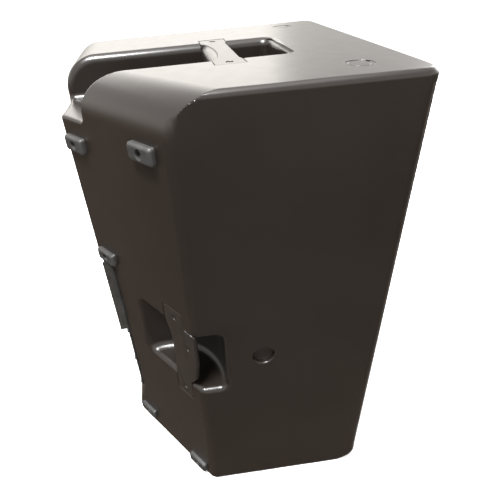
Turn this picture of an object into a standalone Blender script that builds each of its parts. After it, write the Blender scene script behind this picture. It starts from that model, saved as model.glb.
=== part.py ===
"""Powered line array loudspeaker: moulded cabinet with one cut-off rear corner, so that it also
lies down as a stage monitor, a twelve-inch woofer and a column of six small drivers in front.

Metres, +Z up. The front faces -Y. The origin is on the floor at the middle of the object's box.
"""

import math

import bmesh
import bpy
from mathutils import Matrix, Vector

# ---- driving dimensions -------------------------------------------------------------------------
HEIGHT = 0.665                 # floor to top face
FRONT_Y = -0.1992              # front edge of the brow over the grille
REAR_Y = 0.1868                # flat rear face
FRONT_HALF_WIDTH = 0.1903
CENTRE_SHIFT = 0.0051          # moves the whole drawing so that the origin is under its middle
SIDE_TAPER = 0.0267            # each side wall moves in by this much per metre of depth
BODY_BOTTOM = 0.0012           # underside of the cabinet, above the floor
NEAR_CORNER_Y = 0.060          # where the left side wall meets the cut-off corner
RIDGE_X = -0.0155              # where the cut-off corner meets the rear face
WALL = 0.006
GAP = 0.0003                   # clearance between pieces that touch
SIDE_ROUND = 0.007
REAR_ROUND = 0.045
BOTTOM_ROUND = 0.004

# Top handle channel
CHANNEL_HALF = 0.057
CHANNEL_FRONT_Y = -0.093
CHANNEL_FLOOR = 0.613
PLATE_FRONT_Y = -0.037
PLATE_REAR_Y = -0.002
PLATE_HALF = 0.083
PLATE_THICK = 0.006
TOP_SCREW_X = 0.0705

# Side handle pockets: upright cylinders cut into two vertical edges
POCKET_LOW = 0.250
POCKET_HIGH = 0.362
LEFT_POCKET = (-0.165, 0.105, 0.084)       # centre x, centre y, radius
RIGHT_POCKET = (0.172, 0.179, 0.074)
SIDE_PLATE_THICK = 0.007

# Amplifier bay in the rear face
BAY_FLOOR_Y = 0.166
BAY_LOW = 0.105
BAY_HIGH = 0.399
BAY_RIGHT_X = 0.0875
PANEL_THICK = 0.003
PANEL_Y = BAY_FLOOR_Y + GAP + PANEL_THICK   # outer face of the amplifier panel
SINK_LOW = 0.256
SINK_DEPTH = 0.0115
FIN_COUNT = 13

# Front
FRONT_ROUND = 0.020            # plan radius of the two front corners
GRILLE_RETURN_Y = -0.1883      # rear edge of the grille, part way round the corners
GRILLE_LOW = 0.030
GRILLE_HIGH = 0.652
GRILLE_THICK = 0.0015
GRILLE_INSET = 0.0004          # how far the grille stands back from the brow and sill
BAFFLE_FRONT_Y = -0.125
BAFFLE_THICK = 0.014

# Woofer, axis along Y
WOOFER_Z = 0.250
WOOFER_HOLE = 0.1435
CONE_TRAVEL = 0.006

# Column of small drivers
ARRAY_COUNT = 6
ARRAY_PITCH = 0.088
ARRAY_FIRST_Z = 0.120
HOUSING_HALF = 0.045
HOUSING_FRONT_Y = -0.190
HOUSING_REAR_Y = -0.147
DRIVER_HOLE = 0.0335

# Rear bumpers, by distance along the cut-off face and height of their centres
BUMPER_SIZE = (0.040, 0.020, 0.0075)
BUMPERS = [(0.0405, 0.604), (0.182, 0.582), (0.178, 0.411), (0.034, 0.022), (0.172, 0.038)]

CAP_RADIUS = 0.0148
TOP_CAP_X = 0.1405
TOP_CAP_Y = -0.137
SIDE_CAP = (-0.030, 0.311)       # y and z
SIDE_CAP_DEPTH = 0.005
POLE_Y = 0.030
FEET = [(-0.150, -0.160), (0.150, -0.160), (-0.128, 0.062), (0.140, 0.145)]


def half_width(y):
    """Half width of the cabinet at depth y."""
    return FRONT_HALF_WIDTH - SIDE_TAPER * (y - FRONT_Y)


NEAR_CORNER = Vector((-half_width(NEAR_CORNER_Y), NEAR_CORNER_Y))
RIDGE = Vector((RIDGE_X, REAR_Y))
CUT_DIR = (RIDGE - NEAR_CORNER).normalized()            # along the cut-off face, towards the ridge
CUT_OUT = Vector((-CUT_DIR.y, CUT_DIR.x))               # out of the cut-off face

# ---- scene set-up -------------------------------------------------------------------------------
for old in list(bpy.data.objects):
    bpy.data.objects.remove(old, do_unlink=True)

PARTS = bpy.data.collections.new("line_array_speaker")
CUTTERS = bpy.data.collections.new("cutters")
bpy.context.scene.collection.children.link(PARTS)
bpy.context.scene.collection.children.link(CUTTERS)


def material(name, colour, roughness, metallic=0.0):
    """A Principled material with one colour."""
    made = bpy.data.materials.new(name)
    made.use_nodes = True
    shader = made.node_tree.nodes["Principled BSDF"]
    shader.inputs["Base Color"].default_value = (*colour, 1.0)
    shader.inputs["Roughness"].default_value = roughness
    shader.inputs["Metallic"].default_value = metallic
    return made


CABINET_PLASTIC = material("cabinet_plastic", (0.035, 0.032, 0.030), 0.45)
HANDLE_PLASTIC = material("handle_plastic", (0.045, 0.042, 0.040), 0.50)
BUMPER_RUBBER = material("bumper_rubber", (0.09, 0.09, 0.09), 0.75)
GRILLE_STEEL = material("grille_steel", (0.020, 0.020, 0.020), 0.50, 0.6)
FOAM = material("acoustic_foam", (0.010, 0.010, 0.010), 0.95)
BAFFLE_BOARD = material("baffle_board", (0.03, 0.03, 0.03), 0.70)
DRIVER_STEEL = material("driver_steel", (0.05, 0.05, 0.05), 0.45, 0.8)
MAGNET_STEEL = material("magnet_steel", (0.20, 0.20, 0.21), 0.40, 1.0)
CONE_PAPER = material("cone_paper", (0.03, 0.03, 0.03), 0.85)
COIL_COPPER = material("coil_copper", (0.60, 0.30, 0.15), 0.35, 1.0)
PANEL_ALUMINIUM = material("panel_aluminium", (0.03, 0.03, 0.03), 0.45, 0.7)
BOARD_GREEN = material("board_green", (0.02, 0.10, 0.04), 0.55)
JACK_PLASTIC = material("jack_plastic", (0.015, 0.015, 0.015), 0.40)
KNOB_PLASTIC = material("knob_plastic", (0.05, 0.05, 0.05), 0.55)
SCREW_STEEL = material("screw_steel", (0.12, 0.12, 0.12), 0.35, 1.0)
CUP_ALUMINIUM = material("cup_aluminium", (0.40, 0.40, 0.41), 0.40, 1.0)


# ---- shape helpers ------------------------------------------------------------------------------
def new_object(name, mesh, surface, collection=PARTS):
    """An object from a mesh, in a collection and with a material."""
    made = bpy.data.objects.new(name, mesh)
    collection.objects.link(made)
    if surface is not None:
        mesh.materials.append(surface)
    return made


def as_cutter(made):
    """Marks an object as a guide that only shapes others."""
    made.hide_render = True
    made.display_type = "WIRE"
    return made


def smooth(mesh):
    """Smooth shading that keeps the edges over 35 degrees sharp."""
    mesh.shade_smooth()
    mesh.set_sharp_from_angle(angle=math.radians(35))


def box(name, low, high, surface=None, round_edge=0.0):
    """A box between two corners, with rounded edges if asked."""
    low = Vector(low)
    high = Vector(high)
    shape = bmesh.new()
    bmesh.ops.create_cube(shape, size=1.0)
    bmesh.ops.scale(shape, vec=high - low, verts=shape.verts)
    mesh = bpy.data.meshes.new(name)
    shape.to_mesh(mesh)
    shape.free()
    made = new_object(name, mesh, surface, PARTS if surface else CUTTERS)
    made.location = (low + high) / 2
    if round_edge:
        bevel = made.modifiers.new("rounded", "BEVEL")
        bevel.width = round_edge
        bevel.segments = 2
        bevel.limit_method = "ANGLE"
    return made if surface else as_cutter(made)


def cylinder(name, centre, radius, length, axis="Z", surface=None, sides=32):
    """A cylinder around its centre, along X, Y or Z."""
    shape = bmesh.new()
    bmesh.ops.create_cone(
        shape, cap_ends=True, segments=sides, radius1=radius, radius2=radius, depth=length
    )
    mesh = bpy.data.meshes.new(name)
    shape.to_mesh(mesh)
    shape.free()
    smooth(mesh)
    made = new_object(name, mesh, surface, PARTS if surface else CUTTERS)
    made.location = centre
    turns = {"X": (0, math.pi / 2, 0), "Y": (math.pi / 2, 0, 0), "Z": (0, 0, 0)}
    made.rotation_euler = turns[axis]
    return made if surface else as_cutter(made)


def turned(name, profile, centre, surface, closed=False, steps=32, direction=(0, -1, 0)):
    """A turned solid. The profile is (radius, height) pairs, and height runs along direction."""
    mesh = bpy.data.meshes.new(name)
    points = [(radius, 0.0, height) for radius, height in profile]
    edges = [(i, i + 1) for i in range(len(points) - 1)]
    if closed:
        edges.append((len(points) - 1, 0))
    mesh.from_pydata(points, edges, [])
    made = new_object(name, mesh, surface)
    screw = made.modifiers.new("turned", "SCREW")
    screw.steps = steps
    screw.render_steps = steps
    screw.use_merge_vertices = True
    screw.merge_threshold = 0.00002
    screw.use_normal_calculate = False
    made.location = centre
    made.rotation_euler = Vector(direction).to_track_quat("Z", "X").to_euler()
    return made


def plate(name, outline, thickness, surface):
    """A flat outline in its own XY plane with half its thickness on each side, as a mesh."""
    curve = bpy.data.curves.new(name, "CURVE")
    curve.dimensions = "2D"
    curve.fill_mode = "BOTH"
    curve.extrude = thickness / 2
    spline = curve.splines.new("POLY")
    spline.points.add(len(outline) - 1)
    for point, (x, y) in zip(spline.points, outline):
        point.co = (x, y, 0.0, 1.0)
    spline.use_cyclic_u = True
    guide = bpy.data.objects.new(name + "_outline", curve)
    PARTS.objects.link(guide)
    bpy.context.view_layer.update()
    mesh = bpy.data.meshes.new_from_object(guide.evaluated_get(bpy.context.evaluated_depsgraph_get()))
    shape = bmesh.new()
    shape.from_mesh(mesh)
    bmesh.ops.remove_doubles(shape, verts=shape.verts, dist=0.00001)
    bmesh.ops.recalc_face_normals(shape, faces=shape.faces)
    shape.to_mesh(mesh)
    shape.free()
    mesh.name = name
    mesh.materials.clear()
    bpy.data.objects.remove(guide, do_unlink=True)
    made = new_object(name, mesh, surface, PARTS if surface else CUTTERS)
    return made if surface else as_cutter(made)


def boolean(target, tool, operation="DIFFERENCE"):
    """Adds an exact Boolean to the target."""
    cut = target.modifiers.new(operation.lower(), "BOOLEAN")
    cut.operation = operation
    cut.object = tool
    cut.solver = "EXACT"
    return cut


def face_frame(spot, right, out, height):
    """Axes of a piece that stands on an upright face: X to the right, Y up, Z out of the face."""
    return Matrix((
        (right.x, 0.0, out.x, spot.x),
        (right.y, 0.0, out.y, spot.y),
        (0.0, 1.0, 0.0, height),
        (0.0, 0.0, 0.0, 1.0),
    ))


def on_cut_face(made, along, height, outward=0.0):
    """Stands an object on the cut-off face, seen from outside: X right, Y up, Z out."""
    spot = NEAR_CORNER + CUT_DIR * along + CUT_OUT * outward
    made.matrix_world = face_frame(spot, -CUT_DIR, CUT_OUT, height)
    return made


def on_rear_face(made, along, height, outward=0.0):
    """Stands an object on the rear face, at a distance from its outer edge."""
    spot = Vector((half_width(REAR_Y) - along, REAR_Y + outward))
    made.matrix_world = face_frame(spot, Vector((-1, 0)), Vector((0, 1)), height)
    return made


def along_x(made, x, y=0.0, z=0.0):
    """Turns a flat piece so that its outline is a side view: X becomes Y, Y becomes Z."""
    made.matrix_world = Matrix(((0, 0, 1, x), (1, 0, 0, y), (0, 1, 0, z), (0, 0, 0, 1)))
    return made


def arc(centre, radius, start, end, count):
    """Points on an arc, with its angles in degrees."""
    points = []
    for i in range(count + 1):
        angle = math.radians(start + (end - start) * i / count)
        points.append((centre[0] + radius * math.cos(angle), centre[1] + radius * math.sin(angle)))
    return points


# ---- cabinet ------------------------------------------------------------------------------------
def fillet(level, edge, radius):
    """How far a face stands back at a height, near a rounded edge of this radius."""
    depth = radius - abs(edge - level)
    if depth <= 0:
        return 0.0
    return radius - math.sqrt(max(radius * radius - depth * depth, 0.0))


def plan_lines(sides, rear, front):
    """The five upright faces as (point, direction), each moved in by its inset."""
    front_left = Vector((-FRONT_HALF_WIDTH, FRONT_Y))
    front_right = Vector((FRONT_HALF_WIDTH, FRONT_Y))
    rear_right = Vector((half_width(REAR_Y), REAR_Y))
    corners = [front_left, front_right, rear_right, RIDGE, NEAR_CORNER]
    insets = [front, sides, rear, rear, sides]
    lines = []
    for i, inset in enumerate(insets):
        start = corners[i]
        way = (corners[(i + 1) % len(corners)] - start).normalized()
        inward = Vector((-way.y, way.x))
        lines.append((start + inward * inset, way))
    return lines


def meet(line_a, line_b):
    """Where two plan lines cross."""
    (p, d), (q, e) = line_a, line_b
    step = ((q.x - p.x) * e.y - (q.y - p.y) * e.x) / (d.x * e.y - d.y * e.x)
    return p + d * step


def plan_outline(insets, radii, segments):
    """The rounded five-sided outline, counter-clockwise from the front left corner."""
    lines = plan_lines(*insets)
    outline = []
    for i, radius in enumerate(radii):
        before, after = lines[i - 1], lines[i]
        turn = before[1].angle(after[1])
        start = meet(before, after) - before[1] * radius * math.tan(turn / 2)
        centre = start + Vector((-before[1].y, before[1].x)) * radius
        first = math.atan2(before[1].y, before[1].x) - math.pi / 2
        for k in range(segments + 1):
            angle = first + turn * k / segments
            outline.append(centre + Vector((math.cos(angle), math.sin(angle))) * radius)
    return outline


def loft(name, rows, surface):
    """A closed solid through equal-sized outlines, each a list of 3-D points."""
    shape = bmesh.new()
    rings = [[shape.verts.new(point) for point in row] for row in rows]
    for low, high in zip(rings, rings[1:]):
        for i in range(len(low)):
            j = (i + 1) % len(low)
            shape.faces.new((low[i], low[j], high[j], high[i]))
    shape.faces.new(list(reversed(rings[0])))
    shape.faces.new(rings[-1])
    mesh = bpy.data.meshes.new(name)
    shape.to_mesh(mesh)
    shape.free()
    smooth(mesh)
    made = new_object(name, mesh, surface, PARTS if surface else CUTTERS)
    return made if surface else as_cutter(made)


def cabinet_body():
    """The outer form: a five-sided prism whose top, bottom and upright edges are rounded."""
    radii = (FRONT_ROUND, FRONT_ROUND, 0.020, 0.010, 0.015)
    rise = HEIGHT - REAR_ROUND
    levels = [BODY_BOTTOM + BOTTOM_ROUND * (1 - math.cos(math.radians(a))) for a in (0, 30, 60, 90)]
    levels += [rise + REAR_ROUND * math.sin(math.radians(a)) for a in (0, 10, 20, 30, 40, 50)]
    levels += [HEIGHT - SIDE_ROUND * (1 - math.sin(math.radians(a))) for a in (0, 30, 60, 90)]
    rows = []
    for level in levels:
        low = fillet(level, BODY_BOTTOM, BOTTOM_ROUND)
        side = low + fillet(level, HEIGHT, SIDE_ROUND)
        rear = low + fillet(level, HEIGHT, REAR_ROUND)
        rows.append([(p.x, p.y, level) for p in plan_outline((side, rear, side), radii, 4)])
    return loft("cabinet_shell", rows, CABINET_PLASTIC)


def kept_solid():
    """Blocks that stay solid inside the cabinet, behind whatever is cut into its faces."""
    middle = (POCKET_LOW + POCKET_HIGH) / 2
    tall = POCKET_HIGH - POCKET_LOW + 2 * WALL
    blocks = [
        box("keep_channel", (-0.063, CHANNEL_FRONT_Y - WALL, CHANNEL_FLOOR - WALL), (0.063, 0.25, 0.70)),
        box("keep_handle_seats", (-0.092, -0.046, 0.645), (0.092, 0.007, 0.70)),
        box("keep_bay", (-0.09, BAY_FLOOR_Y - WALL, 0.015), (BAY_RIGHT_X + WALL, 0.25, BAY_HIGH + WALL)),
        box("keep_brow", (-0.25, -0.25, GRILLE_HIGH - 0.004), (0.25, -0.160, 0.70)),
        box("keep_sill", (-0.25, -0.25, -0.01), (0.25, -0.160, GRILLE_LOW + 0.004)),
    ]
    for x, y, radius in (LEFT_POCKET, RIGHT_POCKET):
        blocks.append(cylinder("keep_pocket", (x, y, middle), radius + WALL, tall, sides=40))
    for low, high in ((0.200, POCKET_LOW), (POCKET_HIGH, 0.402)):
        left = box("keep_left_seat", (-0.0375, (low - high) / 2, -0.022), (0.0375, (high - low) / 2, 0.022))
        blocks.append(on_cut_face(left, 0.033, (low + high) / 2))
        blocks.append(box("keep_right_seat", (0.108, REAR_Y - 0.022, low), (0.25, 0.25, high)))
    for side in (-1, 1):
        spot = (side * half_width(SIDE_CAP[0]), *SIDE_CAP)
        blocks.append(cylinder("keep_side_cap", spot, 0.020, 0.024, "X"))
    return blocks


def cabinet_cavity():
    """The hollow: the outer form less a wall, run out through the front."""
    radii = (0.004, 0.004, 0.014, 0.006, 0.010)
    bend = REAR_ROUND - WALL
    levels = [BODY_BOTTOM + WALL]
    levels += [HEIGHT - REAR_ROUND + bend * math.sin(math.radians(a)) for a in (0, 30, 60, 90)]
    rows = []
    for level in levels:
        rear = WALL + fillet(level, HEIGHT - WALL, bend)
        rows.append([(p.x, p.y, level) for p in plan_outline((WALL, rear, -0.03), radii, 2)])
    hollow = loft("cavity", rows, None)
    for block in kept_solid():
        boolean(hollow, block)
    return hollow


def pole_and_foot_cuts():
    """Holes in the underside for the pole cup, and shallow seats for the feet."""
    cuts = [
        cylinder("cut_pole", (0, POLE_Y, 0.02), 0.0208, 0.06),
        cylinder("cut_pole_flange", (0, POLE_Y, BODY_BOTTOM), 0.0303, 0.0046),
    ]
    for x, y in FEET:
        cuts.append(cylinder("cut_foot", (x, y, BODY_BOTTOM), 0.0163, 0.0072, sides=24))
    return cuts


def cap_cuts():
    """Round seats for the caps over the rigging points, on the top and on both sides."""
    cuts = [cylinder("cut_top_cap", (s * TOP_CAP_X, TOP_CAP_Y, HEIGHT), 0.0151, 0.0076) for s in (-1, 1)]
    for side in (-1, 1):
        seat = cylinder("cut_side_cap", (side * half_width(SIDE_CAP[0]), *SIDE_CAP), 0.0151, 0.0164, "X")
        seat.rotation_euler = side_cap_turn(side)
        cuts.append(seat)
    return cuts


def side_cap_turn(side):
    """Rotation that lays a turned piece on a tapering side wall."""
    outward = Vector((side, SIDE_TAPER, 0.0))
    return outward.to_track_quat("Z", "X").to_euler()


def handle_cuts():
    """The top channel and its plate's seat, and the side pockets with their plates' seats."""
    rear = 0.25
    cuts = [
        box("cut_channel", (-CHANNEL_HALF, CHANNEL_FRONT_Y, CHANNEL_FLOOR), (CHANNEL_HALF, rear, 0.70), None),
        box("cut_handle_seat", (-PLATE_HALF - GAP, PLATE_FRONT_Y - GAP, HEIGHT - PLATE_THICK - 2 * GAP),
            (PLATE_HALF + GAP, PLATE_REAR_Y + GAP, 0.70)),
    ]
    middle = (POCKET_LOW + POCKET_HIGH) / 2
    for x, y, radius in (LEFT_POCKET, RIGHT_POCKET):
        cuts.append(cylinder("cut_pocket", (x, y, middle), radius, POCKET_HIGH - POCKET_LOW, sides=40))
    deep = SIDE_PLATE_THICK + 2 * GAP
    for place in (on_cut_face, on_rear_face):
        for low, high, near, far in SIDE_TABS:
            half_w = (far - near) / 2 + GAP
            half_h = (high - low) / 2 + GAP
            seat = box("cut_side_seat", (-half_w, -half_h, -deep), (half_w, half_h, 0.02))
            cuts.append(place(seat, (near + far) / 2, (low + high) / 2))
    for x in (-TOP_SCREW_X, TOP_SCREW_X):
        cuts.append(cylinder("cut_top_screw", (x, TOP_SCREW_Y, HEIGHT - 0.010), 0.0022, 0.011, sides=16))
    for place in (on_cut_face, on_rear_face):
        for along, height in SIDE_SCREWS[:2]:
            hole = cylinder("cut_side_screw", (0, 0, 0), 0.0022, 0.012, sides=16)
            cuts.append(place(hole, along, height, -0.0105))
    return cuts


def bay_cuts():
    """The amplifier bay, whose floor slopes out at the bottom, and the opening behind its panel."""
    deep = 0.30
    slope = (BAY_LOW - 0.020) / (REAR_Y - BAY_FLOOR_Y)
    outline = [
        (BAY_FLOOR_Y, BAY_LOW),
        (deep, BAY_LOW - slope * (deep - BAY_FLOOR_Y)),
        (deep, BAY_HIGH),
        (BAY_FLOOR_Y, BAY_HIGH),
    ]
    left = -0.09
    bay = along_x(plate("cut_bay", outline, BAY_RIGHT_X - left, None), (BAY_RIGHT_X + left) / 2)
    return [bay, box("cut_bay_opening", (-0.032, 0.14, 0.116), (0.078, 0.18, 0.389))]


def cabinet_shell():
    """The moulded cabinet: one hollow shell with everything cut into it."""
    shell = cabinet_body()
    boolean(shell, cabinet_cavity())
    boolean(shell, box("cut_grille", (-0.25, -0.25, GRILLE_LOW), (0.25, GRILLE_RETURN_Y, GRILLE_HIGH)))
    for cut in handle_cuts() + bay_cuts() + pole_and_foot_cuts() + cap_cuts():
        boolean(shell, cut)
    return shell


# ---- handles ------------------------------------------------------------------------------------
TOP_SCREW_Y = (PLATE_FRONT_Y + PLATE_REAR_Y) / 2
# Tabs of a side plate: low and high edge, nearest and farthest distance from the corner
SIDE_TABS = [(0.213, 0.252, 0.022, 0.056), (0.360, 0.389, 0.022, 0.060)]
SIDE_SCREWS = [(0.039, 0.374), (0.038, 0.230), (0.018, 0.328)]
SIDE_OUTLINE = [
    (0.060, 0.389), (0.022, 0.389), (0.022, 0.3605), (0.004, 0.3605), (0.0035, 0.345), (0.005, 0.310),
    (0.010, 0.270), (0.022, 0.252), (0.022, 0.213), (0.056, 0.213), (0.056, 0.252), (0.052, 0.285),
    (0.052, 0.335), (0.060, 0.3605),
]


def screw(name, length):
    """A pan-head screw whose head top is at its own origin, Z out of the face."""
    profile = [
        (0, 0), (0.0024, -0.0001), (0.0040, -0.0008), (0.0040, -0.0019), (0.0018, -0.0019),
        (0.0018, -0.0019 - length), (0, -0.0019 - length),
    ]
    return turned(name, profile, (0, 0, 0), SCREW_STEEL, steps=16, direction=(0, 0, 1))


def top_handle():
    """The plate that bridges the channel, scalloped at the rear over a rounded grip."""
    scallop = [(0.046 * t, PLATE_REAR_Y - 0.010 * math.cos(math.pi * t / 2)) for t in
               [1 - i / 4 for i in range(9)]]
    outline = [(-PLATE_HALF, PLATE_REAR_Y), (-PLATE_HALF, PLATE_FRONT_Y), (PLATE_HALF, PLATE_FRONT_Y),
               (PLATE_HALF, PLATE_REAR_Y), *scallop]
    top = HEIGHT - GAP
    handle = plate("top_handle_plate", outline, PLATE_THICK, HANDLE_PLASTIC)
    handle.location.z = top - PLATE_THICK / 2
    grip = box("grip", (-0.0545, PLATE_FRONT_Y + 0.001, 0.641), (0.0545, PLATE_REAR_Y - 0.0005, top - 0.0018))
    rounded = grip.modifiers.new("rounded", "BEVEL")
    rounded.width = 0.008
    rounded.segments = 3
    boolean(handle, grip, "UNION")
    for x in (-TOP_SCREW_X, TOP_SCREW_X):
        head = cylinder("cut_head", (x, TOP_SCREW_Y, HEIGHT), 0.0043, 0.0062, sides=16)
        hole = cylinder("cut_shank", (x, TOP_SCREW_Y, HEIGHT), 0.0021, 0.020, sides=16)
        boolean(handle, head)
        boolean(handle, hole)
    for number, x in enumerate((-TOP_SCREW_X, TOP_SCREW_X), 1):
        made = screw(f"top_handle_screw_{number}", 0.0100)
        made.location = (x, TOP_SCREW_Y, HEIGHT - 0.0008)


def side_handle(side, place):
    """A plate that bridges a pocket beside an upright edge, with its three screws."""
    turn = -1 if side == "left" else 1
    outline = [(turn * along, height) for along, height in SIDE_OUTLINE]
    handle = plate(f"{side}_handle_plate", outline, SIDE_PLATE_THICK, HANDLE_PLASTIC)
    place(handle, 0.0, 0.0, -GAP - SIDE_PLATE_THICK / 2)
    for number, (along, height) in enumerate(SIDE_SCREWS, 1):
        long = number < 3
        head = cylinder("cut_head", (0, 0, 0), 0.0043, 0.0062, sides=16)
        boolean(handle, place(head, along, height, 0.0))
        reach = 0.030 if long else 0.0126
        hole = cylinder("cut_shank", (0, 0, 0), 0.0021, reach, sides=16)
        boolean(handle, place(hole, along, height, 0.0))
        made = screw(f"{side}_handle_screw_{number}", 0.012 if long else 0.003)
        place(made, along, height, -0.0008)


# ---- rubber and caps ----------------------------------------------------------------------------
def rear_bumpers():
    """Rubber bumpers that the cabinet lies on as a monitor, each with a screw hole."""
    width, height, thick = BUMPER_SIZE
    corner = Vector((width / 2, height / 2, thick / 2))
    for number, (along, level) in enumerate(BUMPERS, 1):
        bumper = box(f"rear_bumper_{number}", -corner, corner, BUMPER_RUBBER)
        on_cut_face(bumper, along, level, thick / 2 + GAP)
        rounded = bumper.modifiers.new("rounded", "BEVEL")
        rounded.width = 0.002
        rounded.segments = 2
        boolean(bumper, on_cut_face(cylinder("cut_bumper", (0, 0, 0), 0.0034, 0.03, sides=16), along, level))


def feet():
    """Round rubber feet seated in the underside."""
    for number, (x, y) in enumerate(FEET, 1):
        profile = [(0, 0.0045), (0.016, 0.0045), (0.016, 0.0010), (0.0148, 0), (0, 0)]
        turned(f"foot_{number}", profile, (x, y, 0), BUMPER_RUBBER, steps=24, direction=(0, 0, 1))


def caps():
    """Plastic caps over the rigging points: two on the top and one on each side."""
    flat = [(0, 0), (0.0142, 0), (CAP_RADIUS, -0.0006), (CAP_RADIUS, -0.0030), (0, -0.0030)]
    for side, name in ((-1, "left"), (1, "right")):
        turned(f"top_cap_{name}", flat, (side * TOP_CAP_X, TOP_CAP_Y, HEIGHT - 0.0005), CABINET_PLASTIC,
               direction=(0, 0, 1))
        outward = Vector((side, SIDE_TAPER, 0.0)).normalized()
        spot = Vector((side * half_width(SIDE_CAP[0]), *SIDE_CAP)) - outward * SIDE_CAP_DEPTH
        turned(f"side_cap_{name}", [(r, h * 0.9) for r, h in flat], spot, CABINET_PLASTIC, direction=outward)


def pole_cup():
    """The metal cup in the underside that takes a 35 mm stand pole."""
    profile = [(0, 0.090), (0.0205, 0.090), (0.0205, 0.002), (0.030, 0.002), (0.030, 0), (0.0178, 0),
               (0.0178, 0.087), (0, 0.087)]
    turned("pole_cup", profile, (0, POLE_Y, BODY_BOTTOM), CUP_ALUMINIUM, direction=(0, 0, 1))


# ---- front --------------------------------------------------------------------------------------
def grille_skin(inset):
    """The plan line of the grille from its left rear edge to its right one, moved in by an inset."""
    radius = FRONT_ROUND - GRILLE_INSET - inset
    centre_x = FRONT_HALF_WIDTH - FRONT_ROUND
    centre_y = FRONT_Y + FRONT_ROUND
    start = math.degrees(math.asin((centre_y - GRILLE_RETURN_Y + GAP) / radius))
    left = arc((-centre_x, centre_y), radius, 180 + start, 270, 4)
    right = arc((centre_x, centre_y), radius, 270, 360 - start, 4)
    return left + right


def grille():
    """The steel grille, bent round both front corners, and the thin foam behind it."""
    outline = grille_skin(0.0) + list(reversed(grille_skin(GRILLE_THICK)))
    tall = GRILLE_HIGH - GRILLE_LOW - 2 * GAP
    made = plate("front_grille", outline, tall, GRILLE_STEEL)
    made.location.z = (GRILLE_HIGH + GRILLE_LOW) / 2
    behind = FRONT_Y + GRILLE_INSET + GRILLE_THICK + GAP
    box("grille_foam", (-0.168, behind, 0.0365), (0.168, behind + 0.0015, 0.6455), FOAM)


def baffle():
    """The board that carries the woofer, the ports and the column."""
    half = half_width(BAFFLE_FRONT_Y + BAFFLE_THICK) - WALL - GAP
    low = BODY_BOTTOM + WALL + GAP
    high = HEIGHT - WALL - GAP
    rear = BAFFLE_FRONT_Y + BAFFLE_THICK
    board = box("front_baffle", (-half, BAFFLE_FRONT_Y, low), (half, rear, high), BAFFLE_BOARD)
    boolean(board, cylinder("cut_woofer", (0, BAFFLE_FRONT_Y, WOOFER_Z), WOOFER_HOLE, 0.06, "Y", sides=48))
    for side, name in ((-1, "left"), (1, "right")):
        spot = (side * 0.142, BAFFLE_FRONT_Y, 0.052)
        boolean(board, cylinder("cut_port", spot, 0.0290, 0.06, "Y"))
        profile = [(0.0262, 0.0033), (0.0345, 0.0033), (0.0345, 0.0003), (0.0286, 0.0003),
                   (0.0286, -0.110), (0.0262, -0.110)]
        turned(f"port_tube_{name}", profile, spot, JACK_PLASTIC, closed=True)


def woofer():
    """The twelve-inch driver: basket, magnet with its pole, voice coil and cone."""
    centre = (0, BAFFLE_FRONT_Y, WOOFER_Z)
    profile = [(0.1400, 0.0065), (0.1540, 0.0065), (0.1540, 0.0003), (0.1428, 0.0003), (0.1428, -0.0120),
               (0.0780, -0.0800), (0.0780, -0.0855), (0.0300, -0.0855), (0.0300, -0.0825),
               (0.0750, -0.0825), (0.0750, -0.0790), (0.1400, -0.0105)]
    basket = turned("woofer_basket", profile, centre, DRIVER_STEEL, closed=True, steps=48)
    for turn in (0, 60, 120):
        window = box("cut_window", (-0.16, 0.022, -0.027), (0.16, 0.066, 0.027))
        window.location = (0, BAFFLE_FRONT_Y + 0.044, WOOFER_Z)
        window.rotation_euler = (0, math.radians(turn), 0)
        boolean(basket, window)
    magnet = [(0, -0.070), (0.0255, -0.070), (0.0255, -0.105), (0.0305, -0.105), (0.0305, -0.0858),
              (0.0760, -0.0858), (0.0760, -0.125), (0, -0.125)]
    turned("woofer_magnet", magnet, centre, MAGNET_STEEL)
    coil = [(0.0270, -0.0582), (0.0290, -0.0582), (0.0290, -0.0980), (0.0270, -0.0980)]
    turned("voice_coil", coil, centre, COIL_COPPER, closed=True, steps=24)
    cone = [(0, -0.0340), (0.0160, -0.0355), (0.0320, -0.0400), (0.0440, -0.0462), (0.1200, 0.0005),
            (0.1235, 0.0048), (0.1285, 0.0070), (0.1335, 0.0048), (0.1360, 0.0005), (0.1392, 0.0005),
            (0.1392, -0.0010), (0.1345, -0.0010), (0.1320, 0.0032), (0.1285, 0.0050), (0.1250, 0.0032),
            (0.1215, -0.0012), (0.0285, -0.0578), (0, -0.0578)]
    turned("woofer_cone", cone, centre, CONE_PAPER, steps=48)


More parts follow.
